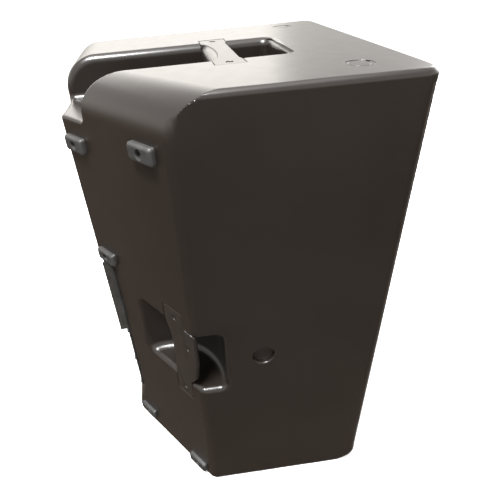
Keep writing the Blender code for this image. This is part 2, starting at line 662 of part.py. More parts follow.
def array_column():
    """The upright housing with its small drivers, each with its own cone."""
    last = ARRAY_FIRST_Z + ARRAY_PITCH * (ARRAY_COUNT - 1)
    low = ARRAY_FIRST_Z - 0.050
    high = last + 0.050
    leg = 0.012
    foot = BAFFLE_FRONT_Y - GAP
    outline = [(HOUSING_FRONT_Y, low), (foot, low), (foot, low + leg), (HOUSING_REAR_Y, low + leg),
               (HOUSING_REAR_Y, high - leg), (foot, high - leg), (foot, high), (HOUSING_FRONT_Y, high)]
    housing = along_x(plate("array_housing", outline, 2 * HOUSING_HALF, BAFFLE_BOARD), 0.0)
    boolean(housing, box("cut_chamber", (-0.041, HOUSING_FRONT_Y + 0.004, low + leg + 0.004),
                         (0.041, HOUSING_REAR_Y + 0.01, high - leg - 0.004)))
    frame = [(0, -0.0150), (0.0120, -0.0150), (0.0292, -0.0030), (0.0292, 0.0030), (0.0375, 0.0030),
             (0.0375, 0.0003), (0.0330, 0.0003), (0.0330, -0.0120), (0.0225, -0.0230),
             (0.0225, -0.0350), (0, -0.0350)]
    cone = [(0, -0.0065), (0.0080, -0.0078), (0.0100, -0.0095), (0.0240, 0.0005), (0.0262, 0.0020),
            (0.0283, 0.0003), (0.0283, -0.0007), (0.0262, 0.0008), (0.0240, -0.0010),
            (0.0105, -0.0110), (0, -0.0110)]
    for number in range(1, ARRAY_COUNT + 1):
        spot = (0, HOUSING_FRONT_Y, ARRAY_FIRST_Z + ARRAY_PITCH * (number - 1))
        boolean(housing, cylinder("cut_driver", spot, DRIVER_HOLE, 0.03, "Y", sides=24))
        turned(f"array_driver_{number}", frame, spot, DRIVER_STEEL, steps=20)
        turned(f"array_cone_{number}", cone, spot, CONE_PAPER, steps=20)


# ---- amplifier ----------------------------------------------------------------------------------
KNOBS = [(-0.005, 0.236), (0.051, 0.236)]
JACKS = [(-0.005, 0.205), (0.051, 0.205)]
LINE_OUT = (-0.005, 0.169)
BUTTON = (0.051, 0.169)
SWITCH = (-0.012, 0.131)
INLET = (0.046, 0.131)


def panel_box(name, spot, width, height, low, high, surface=None, round_edge=0.0):
    """A block centred at a place on the panel, from low to high out of its face."""
    x, z = spot
    first = (x - width / 2, PANEL_Y + low, z - height / 2)
    last = (x + width / 2, PANEL_Y + high, z + height / 2)
    return box(name, first, last, surface, round_edge)


def amplifier_panel():
    """The flat plate in the bay, with a hole for each control and connector."""
    low, high = BAY_LOW + 0.003, BAY_HIGH - 0.001
    panel = box("amplifier_panel", (-0.041, BAY_FLOOR_Y + GAP, low), (0.0865, PANEL_Y, high), PANEL_ALUMINIUM)
    for x, z in KNOBS:
        boolean(panel, cylinder("cut_shaft", (x, PANEL_Y, z), 0.0034, 0.02, "Y", sides=16))
    for x, z in [*JACKS, LINE_OUT]:
        boolean(panel, cylinder("cut_jack", (x, PANEL_Y, z), 0.0113, 0.02, "Y", sides=24))
    boolean(panel, cylinder("cut_button", (BUTTON[0], PANEL_Y, BUTTON[1]), 0.0044, 0.02, "Y", sides=16))
    boolean(panel, panel_box("cut_switch", SWITCH, 0.0134, 0.0240, -0.02, 0.02))
    boolean(panel, panel_box("cut_inlet", INLET, 0.0286, 0.0206, -0.02, 0.02))


def heat_sink():
    """The finned block over the upper half of the panel."""
    left, right = -0.0400, 0.0865
    base = PANEL_Y + GAP
    root = base + 0.004
    tip = PANEL_Y + SINK_DEPTH
    pitch = (right - left - 0.002) / (FIN_COUNT - 1)
    outline = [(left, base)]
    for i in range(FIN_COUNT):
        start = left + i * pitch
        fin = [(start, tip), (start + 0.002, tip)]
        if i > 0:
            fin.insert(0, (start, root))
        if i < FIN_COUNT - 1:
            fin.append((start + 0.002, root))
        outline += fin
    outline.append((right, base))
    sink = plate("heat_sink", outline, BAY_HIGH - 0.001 - SINK_LOW, PANEL_ALUMINIUM)
    sink.location.z = (BAY_HIGH - 0.001 + SINK_LOW) / 2


def connectors():
    """Two input jacks, a line output and the mains inlet, each with its socket."""
    places = [("input_jack_1", JACKS[0]), ("input_jack_2", JACKS[1]), ("line_out_jack", LINE_OUT)]
    for name, (x, z) in places:
        jack = panel_box(name, (x, z), 0.026, 0.029, GAP, 0.0022, JACK_PLASTIC)
        boolean(jack, cylinder("jack_barrel", (x, PANEL_Y - 0.009, z), 0.0110, 0.022, "Y", sides=24), "UNION")
        boolean(jack, cylinder("cut_socket", (x, PANEL_Y, z), 0.0085, 0.028, "Y", sides=24))
    inlet = panel_box("mains_inlet", INLET, 0.048, 0.025, GAP, 0.0022, JACK_PLASTIC)
    boolean(inlet, panel_box("inlet_body", INLET, 0.028, 0.020, -0.018, 0.002), "UNION")
    boolean(inlet, panel_box("cut_inlet_socket", INLET, 0.0240, 0.0160, -0.014, 0.02))


def controls():
    """Two level knobs, a push button and the rocker that switches the mains."""
    cap = [(0, 0.0140), (0.0070, 0.0140), (0.0078, 0.0128), (0.0082, 0.0006), (0.0030, 0.0006),
           (0.0030, -0.0100), (0, -0.0100)]
    for number, (x, z) in enumerate(KNOBS, 1):
        knob = turned(f"level_knob_{number}", cap, (x, PANEL_Y, z), KNOB_PLASTIC, steps=24,
                      direction=(0, 1, 0))
        pointer = panel_box("cut_pointer", (x, z + 0.0056), 0.0010, 0.0056, 0.0132, 0.02)
        boolean(knob, pointer)
    button = [(0, 0.0042), (0.0034, 0.0042), (0.0040, 0.0036), (0.0040, -0.0080), (0, -0.0080)]
    turned("mode_button", button, (BUTTON[0], PANEL_Y, BUTTON[1]), KNOB_PLASTIC, steps=20,
           direction=(0, 1, 0))
    outline = [(-0.0050, -0.0098), (0.0040, -0.0102), (0.0018, 0.0), (0.0040, 0.0102), (-0.0050, 0.0098),
               (-0.0075, 0.0)]
    rocker = plate("power_switch", outline, 0.0122, KNOB_PLASTIC)
    tilt = Matrix.Rotation(math.radians(-8), 4, "X")
    base = Matrix(((0, 0, 1, SWITCH[0]), (1, 0, 0, PANEL_Y), (0, 1, 0, SWITCH[1]), (0, 0, 0, 1)))
    shift = Matrix.Translation(base.translation)
    rocker.matrix_world = shift @ tilt @ shift.inverted() @ base


def electronics():
    """The amplifier and power supply boards behind the panel, with their largest parts."""
    amp = box("amplifier_board", (-0.030, 0.148, 0.262), (0.076, 0.150, 0.386), BOARD_GREEN)
    for x, z in ((-0.012, 0.288), (0.012, 0.288), (-0.012, 0.318), (0.012, 0.318)):
        boolean(amp, cylinder("capacitor", (x, 0.134, z), 0.009, 0.029, "Y", sides=16), "UNION")
    boolean(amp, box("inductor", (0.032, 0.126, 0.274), (0.062, 0.149, 0.304)), "UNION")
    boolean(amp, box("sink_bar", (-0.024, 0.132, 0.345), (0.068, 0.149, 0.355)), "UNION")
    supply = box("power_supply", (-0.030, 0.138, 0.118), (0.076, 0.140, 0.246), BOARD_GREEN)
    boolean(supply, cylinder("transformer", (0.028, 0.124, 0.205), 0.030, 0.029, "Y", sides=24), "UNION")
    for x in (-0.010, 0.016, 0.042):
        boolean(supply, cylinder("reservoir", (x, 0.122, 0.146), 0.011, 0.033, "Y", sides=16), "UNION")
    for x in (-0.026, 0.072):
        for z in (0.267, 0.381):
            boolean(amp, cylinder("stand_off", (x, 0.1575, z), 0.0028, 0.017, "Y", sides=12), "UNION")
        for z in (0.1225, 0.242):
            boolean(supply, cylinder("stand_off", (x, 0.1525, z), 0.0028, 0.027, "Y", sides=12), "UNION")


cabinet_shell()
top_handle()
side_handle("left", on_cut_face)
side_handle("right", on_rear_face)
rear_bumpers()
feet()
caps()
pole_cup()
grille()
baffle()
woofer()
array_column()
amplifier_panel()
heat_sink()
connectors()
controls()
electronics()
for made in bpy.data.objects:
    made.location.y += CENTRE_SHIFT
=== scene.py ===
import functools
import math

import bmesh
import bpy
import numpy as np
from mathutils import Matrix, Vector


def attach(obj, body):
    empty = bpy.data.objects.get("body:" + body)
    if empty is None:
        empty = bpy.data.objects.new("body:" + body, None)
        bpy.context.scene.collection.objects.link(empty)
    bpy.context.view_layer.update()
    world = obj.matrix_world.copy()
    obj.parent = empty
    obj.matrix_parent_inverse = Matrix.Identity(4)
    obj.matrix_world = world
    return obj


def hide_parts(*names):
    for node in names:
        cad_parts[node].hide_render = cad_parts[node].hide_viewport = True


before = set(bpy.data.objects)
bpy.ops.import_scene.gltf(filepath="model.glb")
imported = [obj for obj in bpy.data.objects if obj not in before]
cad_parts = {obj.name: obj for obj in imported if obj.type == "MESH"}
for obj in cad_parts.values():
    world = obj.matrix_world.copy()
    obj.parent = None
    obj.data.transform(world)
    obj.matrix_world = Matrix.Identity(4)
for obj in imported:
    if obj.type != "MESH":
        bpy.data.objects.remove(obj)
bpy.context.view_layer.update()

# ---- dimensions, in metres, shared with the CAD model
HEIGHT = 0.665
FRONT_Y = -0.1992
REAR_Y = 0.1868
FRONT_HALF_WIDTH = 0.1903
SHIFT = 0.0051  # puts the drawing below in the middle of the shared frame
SIDE_TAPER = 0.0267
SIDE_COSINE = 0.99964  # of the small angle between a side and the y axis
BODY_BOTTOM = 0.0012
WALL = 0.006
FRONT_ROUND = 0.020
TOP_ROUND, REAR_TOP_ROUND = 0.007, 0.045
CORNER_ROUND, CORNER_REACH = 0.0063, 0.0101
RIDGE_ROUND = 0.0020
BOTTOM_ROUND, BOTTOM_FRONT_MORE = 0.004, 0.014
GRILLE_INSET = 0.0004
GRILLE_THICK = 0.0015
GRILLE_LOW, GRILLE_HIGH = 0.030, 0.652
GRILLE_REAR = -0.1883
CHANNEL_HALF, CHANNEL_FRONT_Y, CHANNEL_FLOOR = 0.057, -0.093, 0.613
CHANNEL_ROUND, CHANNEL_FLOOR_ROUND = 0.010, 0.006
CHANNEL_LIP, CHANNEL_LIP_MORE = 0.0045, 0.0055
PLATE_Y = (-0.037, -0.002)
PLATE_HALF = 0.083
POCKET_MIDDLE, POCKET_HALF = 0.306, 0.056
LEFT_POCKET = (-0.165, 0.105, 0.084)
RIGHT_POCKET = (0.172, 0.179, 0.074)
POCKET_ROUND = 0.012
POCKET_LIP, POCKET_LIP_MORE = 0.0045, 0.0045
BAY_FLOOR_Y, BAY_LOW, BAY_HIGH = 0.166, 0.105, 0.399
BAY_MIDDLE, BAY_HALF, BAY_RUNOUT = -0.00125, 0.08875, 0.020
BAY_ROUND, BAY_LIP = 0.0012, 0.0022
BUMPERS = [(0.0405, 0.604), (0.182, 0.582), (0.178, 0.411), (0.034, 0.022), (0.172, 0.038)]
SIDE_CAP = (-0.030, 0.311)
SIDE_CAP_DEPTH = 0.0050
TOP_CAP = (0.1405, -0.137)
SIDE_TABS = [(0.213, 0.252, 0.022, 0.056), (0.360, 0.389, 0.022, 0.060)]
# screws of a side plate as (distance from the upright edge, height, shank, depth of the hole)
SIDE_SCREWS = [(0.039, 0.374, 0.012, 0.012), (0.038, 0.230, 0.012, 0.012),
               (0.018, 0.328, 0.003, 0.006)]
TOP_SCREW = (0.0705, -0.0195)
SCREW_TOP = 0.0008  # depth of a handle screw's top below the face
FEET = [(-0.150, -0.160), (0.150, -0.160), (-0.128, 0.062), (0.140, 0.145)]
POLE_Y = 0.030
FAR, ABOVE, BELOW = 0.25, 0.70, -0.01  # bounds of cutters, well outside the cabinet
SHARP_EDGE = math.radians(32)
GRILLE_SHARP_EDGE = math.radians(40)


def half_width(y):
    return FRONT_HALF_WIDTH - SIDE_TAPER * (y - FRONT_Y)


NEAR_CORNER = Vector((-half_width(0.060), 0.060))
RIDGE = Vector((-0.0155, REAR_Y))
CUT_DIR = (RIDGE - NEAR_CORNER).normalized()
CUT_OUT = Vector((-CUT_DIR.y, CUT_DIR.x))


# ---- materials
MIX_SHARE, MIX_FIRST, MIX_SECOND, MIX_RESULT = 0, 6, 7, 2  # a Mix node's colour sockets
NOISE_LOW, NOISE_HIGH = 0.3, 0.7  # bounds of most of a noise's values


class Surface:
    """A procedural material under construction, in object coordinates."""

    def __init__(self, name, colour, roughness, metallic=0.0, specular=0.5):
        self.material = bpy.data.materials.new(name)
        self.material.use_nodes = True
        self.nodes = self.material.node_tree.nodes
        self.links = self.material.node_tree.links
        self.shader = self.nodes["Principled BSDF"]
        constants = {"Base Color": (*colour, 1.0), "Roughness": roughness, "Metallic": metallic,
                     "Specular IOR Level": specular}
        for socket, value in constants.items():
            self.shader.inputs[socket].default_value = value
        self.place = self.nodes.new("ShaderNodeTexCoord").outputs["Object"]

    def node(self, kind, **inputs):
        made = self.nodes.new("ShaderNode" + kind)
        for key, value in inputs.items():
            made.inputs[key].default_value = value
        return made

    def stretched(self, stretch):
        if stretch is None:
            return self.place
        mapping = self.node("Mapping", Scale=stretch)
        self.links.new(self.place, mapping.inputs["Vector"])
        return mapping.outputs["Vector"]

    def noise(self, scale, detail=3.0, stretch=None):
        made = self.node("TexNoise", Scale=scale, Detail=detail)
        self.links.new(self.stretched(stretch), made.inputs["Vector"])
        return made.outputs["Fac"]

    def cells(self, scale):
        made = self.node("TexVoronoi", Scale=scale)
        self.links.new(self.place, made.inputs["Vector"])
        return made.outputs["Distance"]

    def ramp(self, value, low, high, start, end):
        made = self.node("MapRange", **{"From Min": start, "From Max": end,
                                        "To Min": low, "To Max": high})
        self.links.new(value, made.inputs["Value"])
        return made.outputs["Result"]

    def mix(self, share, second):
        """A colour mix whose first colour is still to be set."""
        made = self.nodes.new("ShaderNodeMix")
        made.data_type = "RGBA"
        made.inputs[MIX_SECOND].default_value = (*second, 1.0)
        self.links.new(share, made.inputs[MIX_SHARE])
        return made

    def colours(self, value, low, high, start=NOISE_LOW, end=NOISE_HIGH):
        made = self.mix(self.ramp(value, 0.0, 1.0, start, end), high)
        made.inputs[MIX_FIRST].default_value = (*low, 1.0)
        return made.outputs[MIX_RESULT]

    def over(self, under, mask, colour):
        made = self.mix(mask, colour)
        self.links.new(under, made.inputs[MIX_FIRST])
        return made.outputs[MIX_RESULT]

    def set(self, socket, value):
        self.links.new(value, self.shader.inputs[socket])

    def finished(self, base, gloss, rough, grain, depth, strength):
        """The material, with its base colour, a roughness that follows a gloss, and a grain."""
        self.set("Base Color", base)
        self.set("Roughness", self.ramp(gloss, *rough, NOISE_LOW, NOISE_HIGH))
        bump = self.node("Bump", Strength=strength, Distance=depth)
        self.links.new(grain, bump.inputs["Height"])
        self.set("Normal", bump.outputs["Normal"])
        return self.material


def shade(colour, share, lift=0.0):
    return tuple(c * share + lift for c in colour)


def moulded(name, colour, roughness, grain=900.0, depth=0.00003, marks=False, specular=0.4):
    """Satin moulded plastic: fine grain, slightly uneven gloss and, if asked, dust specks."""
    made = Surface(name, colour, roughness, specular=specular)
    base = made.colours(made.noise(9.0, 4.0), shade(colour, 0.88), shade(colour, 1.12))
    if marks:
        speck = made.ramp(made.cells(26.0), 1.0, 0.0, 0.010, 0.022)
        patchy = made.ramp(made.noise(14.0, 2.0), 0.0, 0.75, 0.50, 0.62)
        both = made.nodes.new("ShaderNodeMath")
        both.operation = "MULTIPLY"
        made.links.new(speck, both.inputs[0])
        made.links.new(patchy, both.inputs[1])
        base = made.over(base, both.outputs[0], shade(colour, 3.5, 0.03))
    rough = (roughness - 0.010, roughness + 0.010)
    return made.finished(base, made.noise(60.0, 2.0), rough, made.noise(grain, 2.0), depth, 0.55)


def painted_metal(name, colour, roughness, specular=0.5):
    """Powder coat or anodising, with a faint orange peel."""
    made = Surface(name, colour, roughness, specular=specular)
    low, high = shade(colour, 0.8), shade(colour, 1.2, 0.002)
    base = made.colours(made.noise(60.0, 4.0), low, high, 0.35, 0.65)
    rough = (roughness - 0.06, roughness + 0.08)
    return made.finished(base, made.noise(90.0, 4.0), rough, made.cells(1400.0), 0.00008, 0.5)


def bare_metal(name, colour, roughness, stretch=None, scale=300.0):
    """Unpainted metal with fine marks, drawn out along an axis if asked."""
    made = Surface(name, colour, roughness, metallic=1.0)
    base = made.colours(made.noise(40.0, 4.0), shade(colour, 0.8), colour)
    marks = made.noise(scale, 4.0, stretch)
    return made.finished(base, marks, (roughness - 0.08, roughness + 0.12), marks, 0.00005, 0.5)


def rubber(name, colour):
    made = Surface(name, colour, 0.50)
    base = made.colours(made.noise(70.0, 5.0), shade(colour, 0.75), shade(colour, 1.25))
    gloss, grain = made.noise(120.0, 4.0), made.noise(700.0, 3.0)
    return made.finished(base, gloss, (0.42, 0.55), grain, 0.00012, 0.6)


def fibrous(name, colour, scale, depth):
    """Foam, painted board or paper pulp."""
    made = Surface(name, colour, 0.9, specular=0.2)
    base = made.colours(made.noise(scale, 5.0), shade(colour, 0.6), shade(colour, 1.5))
    gloss, grain = made.noise(scale * 0.5, 3.0), made.noise(scale, 4.0)
    return made.finished(base, gloss, (0.8, 0.98), grain, depth, 0.8)


CABINET = moulded("cabinet_moulding", (0.0088, 0.0065, 0.0051), 0.30, marks=True, specular=0.5)
HANDLE = moulded("handle_moulding", (0.0108, 0.0085, 0.0071), 0.34, specular=0.5)
CAP = moulded("cap_moulding", (0.0092, 0.0068, 0.0054), 0.32, specular=0.5)
DARK_PLASTIC = moulded("socket_moulding", (0.010, 0.010, 0.010), 0.34)
KNOB = moulded("knob_moulding", (0.022, 0.022, 0.022), 0.45, grain=1500.0)
BUMPER = rubber("bumper_compound", (0.017, 0.0165, 0.0158))
FOOT = rubber("foot_compound", (0.020, 0.020, 0.020))
GRILLE = painted_metal("grille_powder_coat", (0.030, 0.027, 0.025), 0.32, specular=0.6)
PANEL = painted_metal("panel_anodised", (0.014, 0.014, 0.014), 0.45, specular=0.25)
SINK = painted_metal("heat_sink_anodised", (0.020, 0.018, 0.016), 0.40, specular=0.25)
BASKET = painted_metal("basket_paint", (0.020, 0.020, 0.022), 0.40)
SCREW = bare_metal("blackened_steel", (0.16, 0.15, 0.14), 0.34)
PIN = bare_metal("contact_nickel", (0.72, 0.70, 0.66), 0.22)
ZINC = bare_metal("zinc_plate", (0.42, 0.42, 0.44), 0.36)
CAST = bare_metal("cast_aluminium", (0.36, 0.36, 0.37), 0.50, scale=800.0)
COPPER = bare_metal("coil_winding", (0.70, 0.32, 0.14), 0.30, stretch=(0.05, 12.0, 0.05))
FOAM = fibrous("acoustic_foam", (0.012, 0.012, 0.012), 900.0, 0.0006)
BOARD = fibrous("baffle_paint", (0.018, 0.017, 0.016), 240.0, 0.0002)
PAPER = fibrous("cone_pulp", (0.022, 0.021, 0.020), 420.0, 0.0002)
MARK = moulded("printed_mark", (0.62, 0.62, 0.60), 0.5, 1500.0, 0.00002)
LENS = moulded("lamp_lens", (0.05, 0.30, 0.10), 0.18, 1500.0, 0.00001)
CIRCUIT = moulded("circuit_board", (0.010, 0.070, 0.026), 0.40, grain=300.0)


# ---- distance fields
def round_max(a, b, r):
    """Intersection of two fields whose common edge is rounded."""
    corner = np.hypot(np.maximum(a + r, 0.0), np.maximum(b + r, 0.0))
    return np.minimum(np.maximum(a, b), -r) + corner


def round_min(a, b, r):
    """Union of two fields whose inner edge is filleted."""
    return -round_max(-a, -b, r)


def ease(start, end, value):
    """A smooth step from 0 at the start to 1 at the end."""
    t = np.clip((value - start) / (end - start), 0.0, 1.0)
    return t * t * (3.0 - 2.0 * t)


def outer_body(x, y, z):
    """The cabinet's outer form, with nothing cut into it."""
    side = (np.abs(x) - FRONT_HALF_WIDTH + SIDE_TAPER * (y - FRONT_Y)) * SIDE_COSINE
    walls = round_max(side, FRONT_Y - y, FRONT_ROUND)
    cut = (x - NEAR_CORNER.x) * CUT_OUT.x + (y - NEAR_CORNER.y) * CUT_OUT.y
    back = round_max(cut, y - REAR_Y, RIDGE_ROUND)
    top = z - HEIGHT
    # the rear corners are rounded only near the walls, so that the top stays flat
    near = ease(-CORNER_REACH, -CORNER_ROUND, np.minimum(walls, back))
    turn = np.maximum(CORNER_ROUND * near, 1e-5)
    body = round_max(round_max(walls, top, TOP_ROUND), round_max(back, top, REAR_TOP_ROUND), turn)
    bottom = BOTTOM_ROUND + BOTTOM_FRONT_MORE * ease(-0.160, -0.190, y)
    return round_max(body, BODY_BOTTOM - z, bottom)


def pocket(x, y, z, spot):
    """A hand pocket, an upright round hollow with rounded ends."""
    cx, cy, radius = spot
    ends = np.abs(z - POCKET_MIDDLE) - POCKET_HALF
    return round_max(np.hypot(x - cx, y - cy) - radius, ends, POCKET_ROUND)


def cabinet_field(x, y, z):
    """The moulded cabinet with its channel, its two pockets and its bay."""
    body = outer_body(x, y, z)
    channel = round_max(np.abs(x) - CHANNEL_HALF, CHANNEL_FRONT_Y - y, CHANNEL_ROUND)
    channel = round_max(channel, CHANNEL_FLOOR - z, CHANNEL_FLOOR_ROUND)
    body = round_max(body, -channel, CHANNEL_LIP + CHANNEL_LIP_MORE * ease(-0.03, 0.03, x))
    lip = POCKET_LIP + POCKET_LIP_MORE * ease(0.290, 0.262, z)
    for spot in (LEFT_POCKET, RIGHT_POCKET):
        body = round_max(body, -pocket(x, y, z, spot), lip)
    slope = (REAR_Y - BAY_FLOOR_Y) / (BAY_LOW - BAY_RUNOUT)
    floor = (BAY_FLOOR_Y + (BAY_LOW - z) * slope - y) / math.hypot(1.0, slope)
    floor = np.maximum(BAY_FLOOR_Y - y, floor)
    bay = np.maximum(np.abs(x - BAY_MIDDLE) - BAY_HALF, z - BAY_HIGH)
    return round_max(body, -round_max(bay, floor, BAY_ROUND), BAY_LIP)


# ---- meshes from fields
def gradient(field, points):
    """Unit outward normals of a field at points, and the field's slope there."""
    step = 2e-5
    slopes = []
    for axis in range(3):
        ahead, behind = points.copy(), points.copy()
        ahead[:, axis] += step
        behind[:, axis] -= step
        slopes.append((field(*ahead.T) - field(*behind.T)) / (2 * step))
    slopes = np.stack(slopes, axis=1)
    size = np.maximum(np.linalg.norm(slopes, axis=1), 1e-6)
    return slopes / size[:, None], size


def surface_net(field, low, high, step):
    """Points and quads on the zero surface of a field, one point in each crossed cell."""
    axes = [np.arange(a, b + step, step, dtype=np.float32) for a, b in zip(low, high)]
    values = field(axes[0][:, None, None], axes[1][None, :, None], axes[2][None, None, :])
    inside = values < 0
    shape = tuple(n - 1 for n in inside.shape)
    corners = np.zeros(shape, np.uint8)
    for i in range(8):
        dx, dy, dz = i & 1, i >> 1 & 1, i >> 2
        corners += inside[dx:dx + shape[0], dy:dy + shape[1], dz:dz + shape[2]]
    cells = np.argwhere((corners > 0) & (corners < 8))
    index = np.full(shape, -1, np.int32)
    index[tuple(cells.T)] = np.arange(len(cells))
    total = np.zeros((len(cells), 3))
    hits = np.zeros(len(cells))
    for axis in range(3):
        for i in range(4):
            start = np.insert([i & 1, i >> 1], axis, 0)
            end = start.copy()
            end[axis] = 1
            a = values[tuple((cells + start).T)]
            b = values[tuple((cells + end).T)]
            crossed = (a < 0) != (b < 0)
            share = np.where(crossed, a / np.where(crossed, a - b, 1.0), 0.0)
            spot = cells + start + share[:, None] * (end - start)
            total[crossed] += spot[crossed]
            hits += crossed
    points = np.array(low) + step * total / hits[:, None]
    quads = []
    for axis in range(3):
        u, v = (axis + 1) % 3, (axis + 2) % 3
        first = np.moveaxis(inside, (axis, u, v), (0, 1, 2))
        cell = np.moveaxis(index, (axis, u, v), (0, 1, 2))
        here, there = first[:-1, 1:-1, 1:-1], first[1:, 1:-1, 1:-1]
        ring = [cell[:, :-1, :-1], cell[:, 1:, :-1], cell[:, 1:, 1:], cell[:, :-1, 1:]]
        for inner, order in ((here & ~there, (0, 1, 2, 3)), (there & ~here, (3, 2, 1, 0))):
            quads.append(np.stack([ring[k][inner] for k in order], axis=1))
    return points, np.concatenate(quads)


def mesh_from(name, points, faces):
    """A mesh from arrays of points and equal-sided faces."""
    sides = faces.shape[1]
    mesh = bpy.data.meshes.new(name)
    mesh.vertices.add(len(points))
    mesh.vertices.foreach_set("co", np.asarray(points, np.float32).ravel())
    mesh.loops.add(faces.size)
    mesh.loops.foreach_set("vertex_index", faces.astype(np.int32).ravel())
    mesh.polygons.add(len(faces))
    mesh.polygons.foreach_set("loop_start", np.arange(0, faces.size, sides, dtype=np.int32))
    mesh.update(calc_edges=True)
    mesh.validate()
    return mesh


def link(name, data, material=None):
    """A new object for a mesh, a light or a camera, with its material if it has one."""
    made = bpy.data.objects.new(name, data)
    bpy.context.scene.collection.objects.link(made)
    if material:
        data.materials.clear()
        data.materials.append(material)
    return made


def baked(made):
    """Replaces an object's mesh by the result of its modifiers."""
    bpy.context.view_layer.update()
    graph = bpy.context.evaluated_depsgraph_get()
    mesh = bpy.data.meshes.new_from_object(made.evaluated_get(graph))
    made.modifiers.clear()
    made.data = mesh


def smooth_shaded(mesh, sharp=SHARP_EDGE):
    """Shades a mesh smooth, apart from its sharp edges."""
    mesh.shade_smooth()
    mesh.set_sharp_from_angle(angle=sharp)
    return mesh


def read(items, key, width=1, kind=np.float64):
    """One attribute of all items of a mesh, as an array."""
    values = np.empty(len(items) * width, kind)
    items.foreach_get(key, values)
    return values.reshape(-1, width) if width > 1 else values


def field_normals(mesh, field, limit=0.80):
    """Shades a mesh by its field, and keeps faces that were cut later flat."""
    on_surface = 0.0004
    points = read(mesh.vertices, "co", 3)
    smooth, _ = gradient(field, points)
    near = np.abs(field(*points.T)) < on_surface
    corner = read(mesh.loops, "vertex_index", kind=np.int32)
    sizes = read(mesh.polygons, "loop_total", kind=np.int32)
    flat = np.repeat(read(mesh.polygons, "normal", 3), sizes, axis=0)
    wanted = smooth[corner]
    fits = near[corner] & (np.einsum("ij,ij->i", wanted, flat) > limit)
    normals = np.where(fits[:, None], wanted, flat)
    mesh.shade_smooth()
    mesh.normals_split_custom_set(normals.tolist())


def sculpt(name, field, low, high, step, ratio, material):
    """An object on the zero surface of a field, thinned where it is flat."""
    points, quads = surface_net(field, low, high, step)
    for _ in range(4):
        normals, size = gradient(field, points)
        shift = np.clip(field(*points.T) / size, -step, step)
        points = points - normals * shift[:, None]
    made = link(name, mesh_from(name, points, quads), material)
    made.modifiers.new("thinned", "DECIMATE").ratio = ratio
    baked(made)
    field_normals(made.data, field, -1.0)
    return made


# ---- shapes from outlines
def rounded_rectangle(half_u, half_v, radius, segments=6):
    outline = []
    for i, (su, sv) in enumerate(((1, 1), (-1, 1), (-1, -1), (1, -1))):
        for k in range(segments + 1):
            angle = math.pi / 2 * (i + k / segments)
            outline.append((su * (half_u - radius) + radius * math.cos(angle),
                            sv * (half_v - radius) + radius * math.sin(angle)))
    return outline


def circle(radius, sides=48):
    angles = [2 * math.pi * i / sides for i in range(sides)]
    return [(radius * math.cos(angle), radius * math.sin(angle)) for angle in angles]


def turned(profile, sides=48):
    """Rows of circles through a profile of (radius, height)."""
    return [(circle(radius, sides), height) for radius, height in profile]


def stack(name, rows, material=None):
    """A closed solid through outlines of (points, height), in its own axes."""
    shape = bmesh.new()
    rings = [[shape.verts.new((x, y, height)) for x, y in points] for points, height in rows]
    for low, high in zip(rings, rings[1:]):
        for i in range(len(low)):
            j = (i + 1) % len(low)
            shape.faces.new((low[i], low[j], high[j], high[i]))
    shape.faces.new(list(reversed(rings[0])))
    shape.faces.new(rings[-1])
    bmesh.ops.recalc_face_normals(shape, faces=shape.faces)
    mesh = bpy.data.meshes.new(name)
    shape.to_mesh(mesh)
    shape.free()
    if material:
        smooth_shaded(mesh)
    return link(name, mesh, material)


def upright(made, across, outward, spot):
    """Puts an object at a spot, with its x axis across, y axis up and z axis outward."""
    columns = ((*across, 0.0, 0.0), (0.0, 0.0, 1.0, 0.0), (*outward, 0.0, 0.0), (*spot, 1.0))
    made.matrix_world = Matrix(columns).transposed()
    return made


def on_cut_face(made, along, height, outward=0.0):
    """Puts an object on the cut-off face, along from the left upright edge."""
    spot = NEAR_CORNER + CUT_DIR * along + CUT_OUT * outward
    return upright(made, -CUT_DIR, CUT_OUT, (*spot, height))


def on_rear_face(made, along, height, outward=0.0):
    """Puts an object on the rear face, along from the right upright edge."""
    spot = (half_width(REAR_Y) - along, REAR_Y + outward, height)
    return upright(made, (-1.0, 0.0), (0.0, 1.0), spot)


def facing(made, spot, outward):
    """Puts an object at a spot with its z axis outward."""
    turn = Vector(outward).to_track_quat("Z", "X").to_matrix().to_4x4()
    made.matrix_world = Matrix.Translation(spot) @ turn
    return made


def joined_cut(target, cutters):
    """Cuts many closed solids out of a target in one exact Boolean."""
    group = bpy.data.collections.new("cutters")
    for cutter in cutters:
        group.objects.link(cutter)
    cut = target.modifiers.new("cut", "BOOLEAN")
    cut.operation = "DIFFERENCE"
    cut.operand_type = "COLLECTION"
    cut.collection = group
    cut.solver = "EXACT"
    cut.use_self = True
    baked(target)
    for cutter in cutters:
        bpy.data.objects.remove(cutter, do_unlink=True)
    bpy.data.collections.remove(group)
    return target


def fitted(made, slot, *nodes, body="cabinet"):
    """Moves a finished piece into the shared frame and puts it on a body, in place of CAD nodes."""
    made.location.y += SHIFT
    if nodes:
        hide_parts(*nodes)
    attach(made, body)


def ring(name, rows, material):
    """A ring-shaped solid through outlines of (points, height), the last joined to the first."""
    points = [(x, y, height) for outline, height in rows for x, y in outline]
    here = np.arange(len(points)).reshape(len(rows), -1)
    ahead = np.roll(here, -1, axis=1)
    quads = np.stack([here, ahead, np.roll(ahead, -1, axis=0), np.roll(here, -1, axis=0)], axis=-1)
    return link(name, smooth_shaded(mesh_from(name, points, quads.reshape(-1, 4))), material)


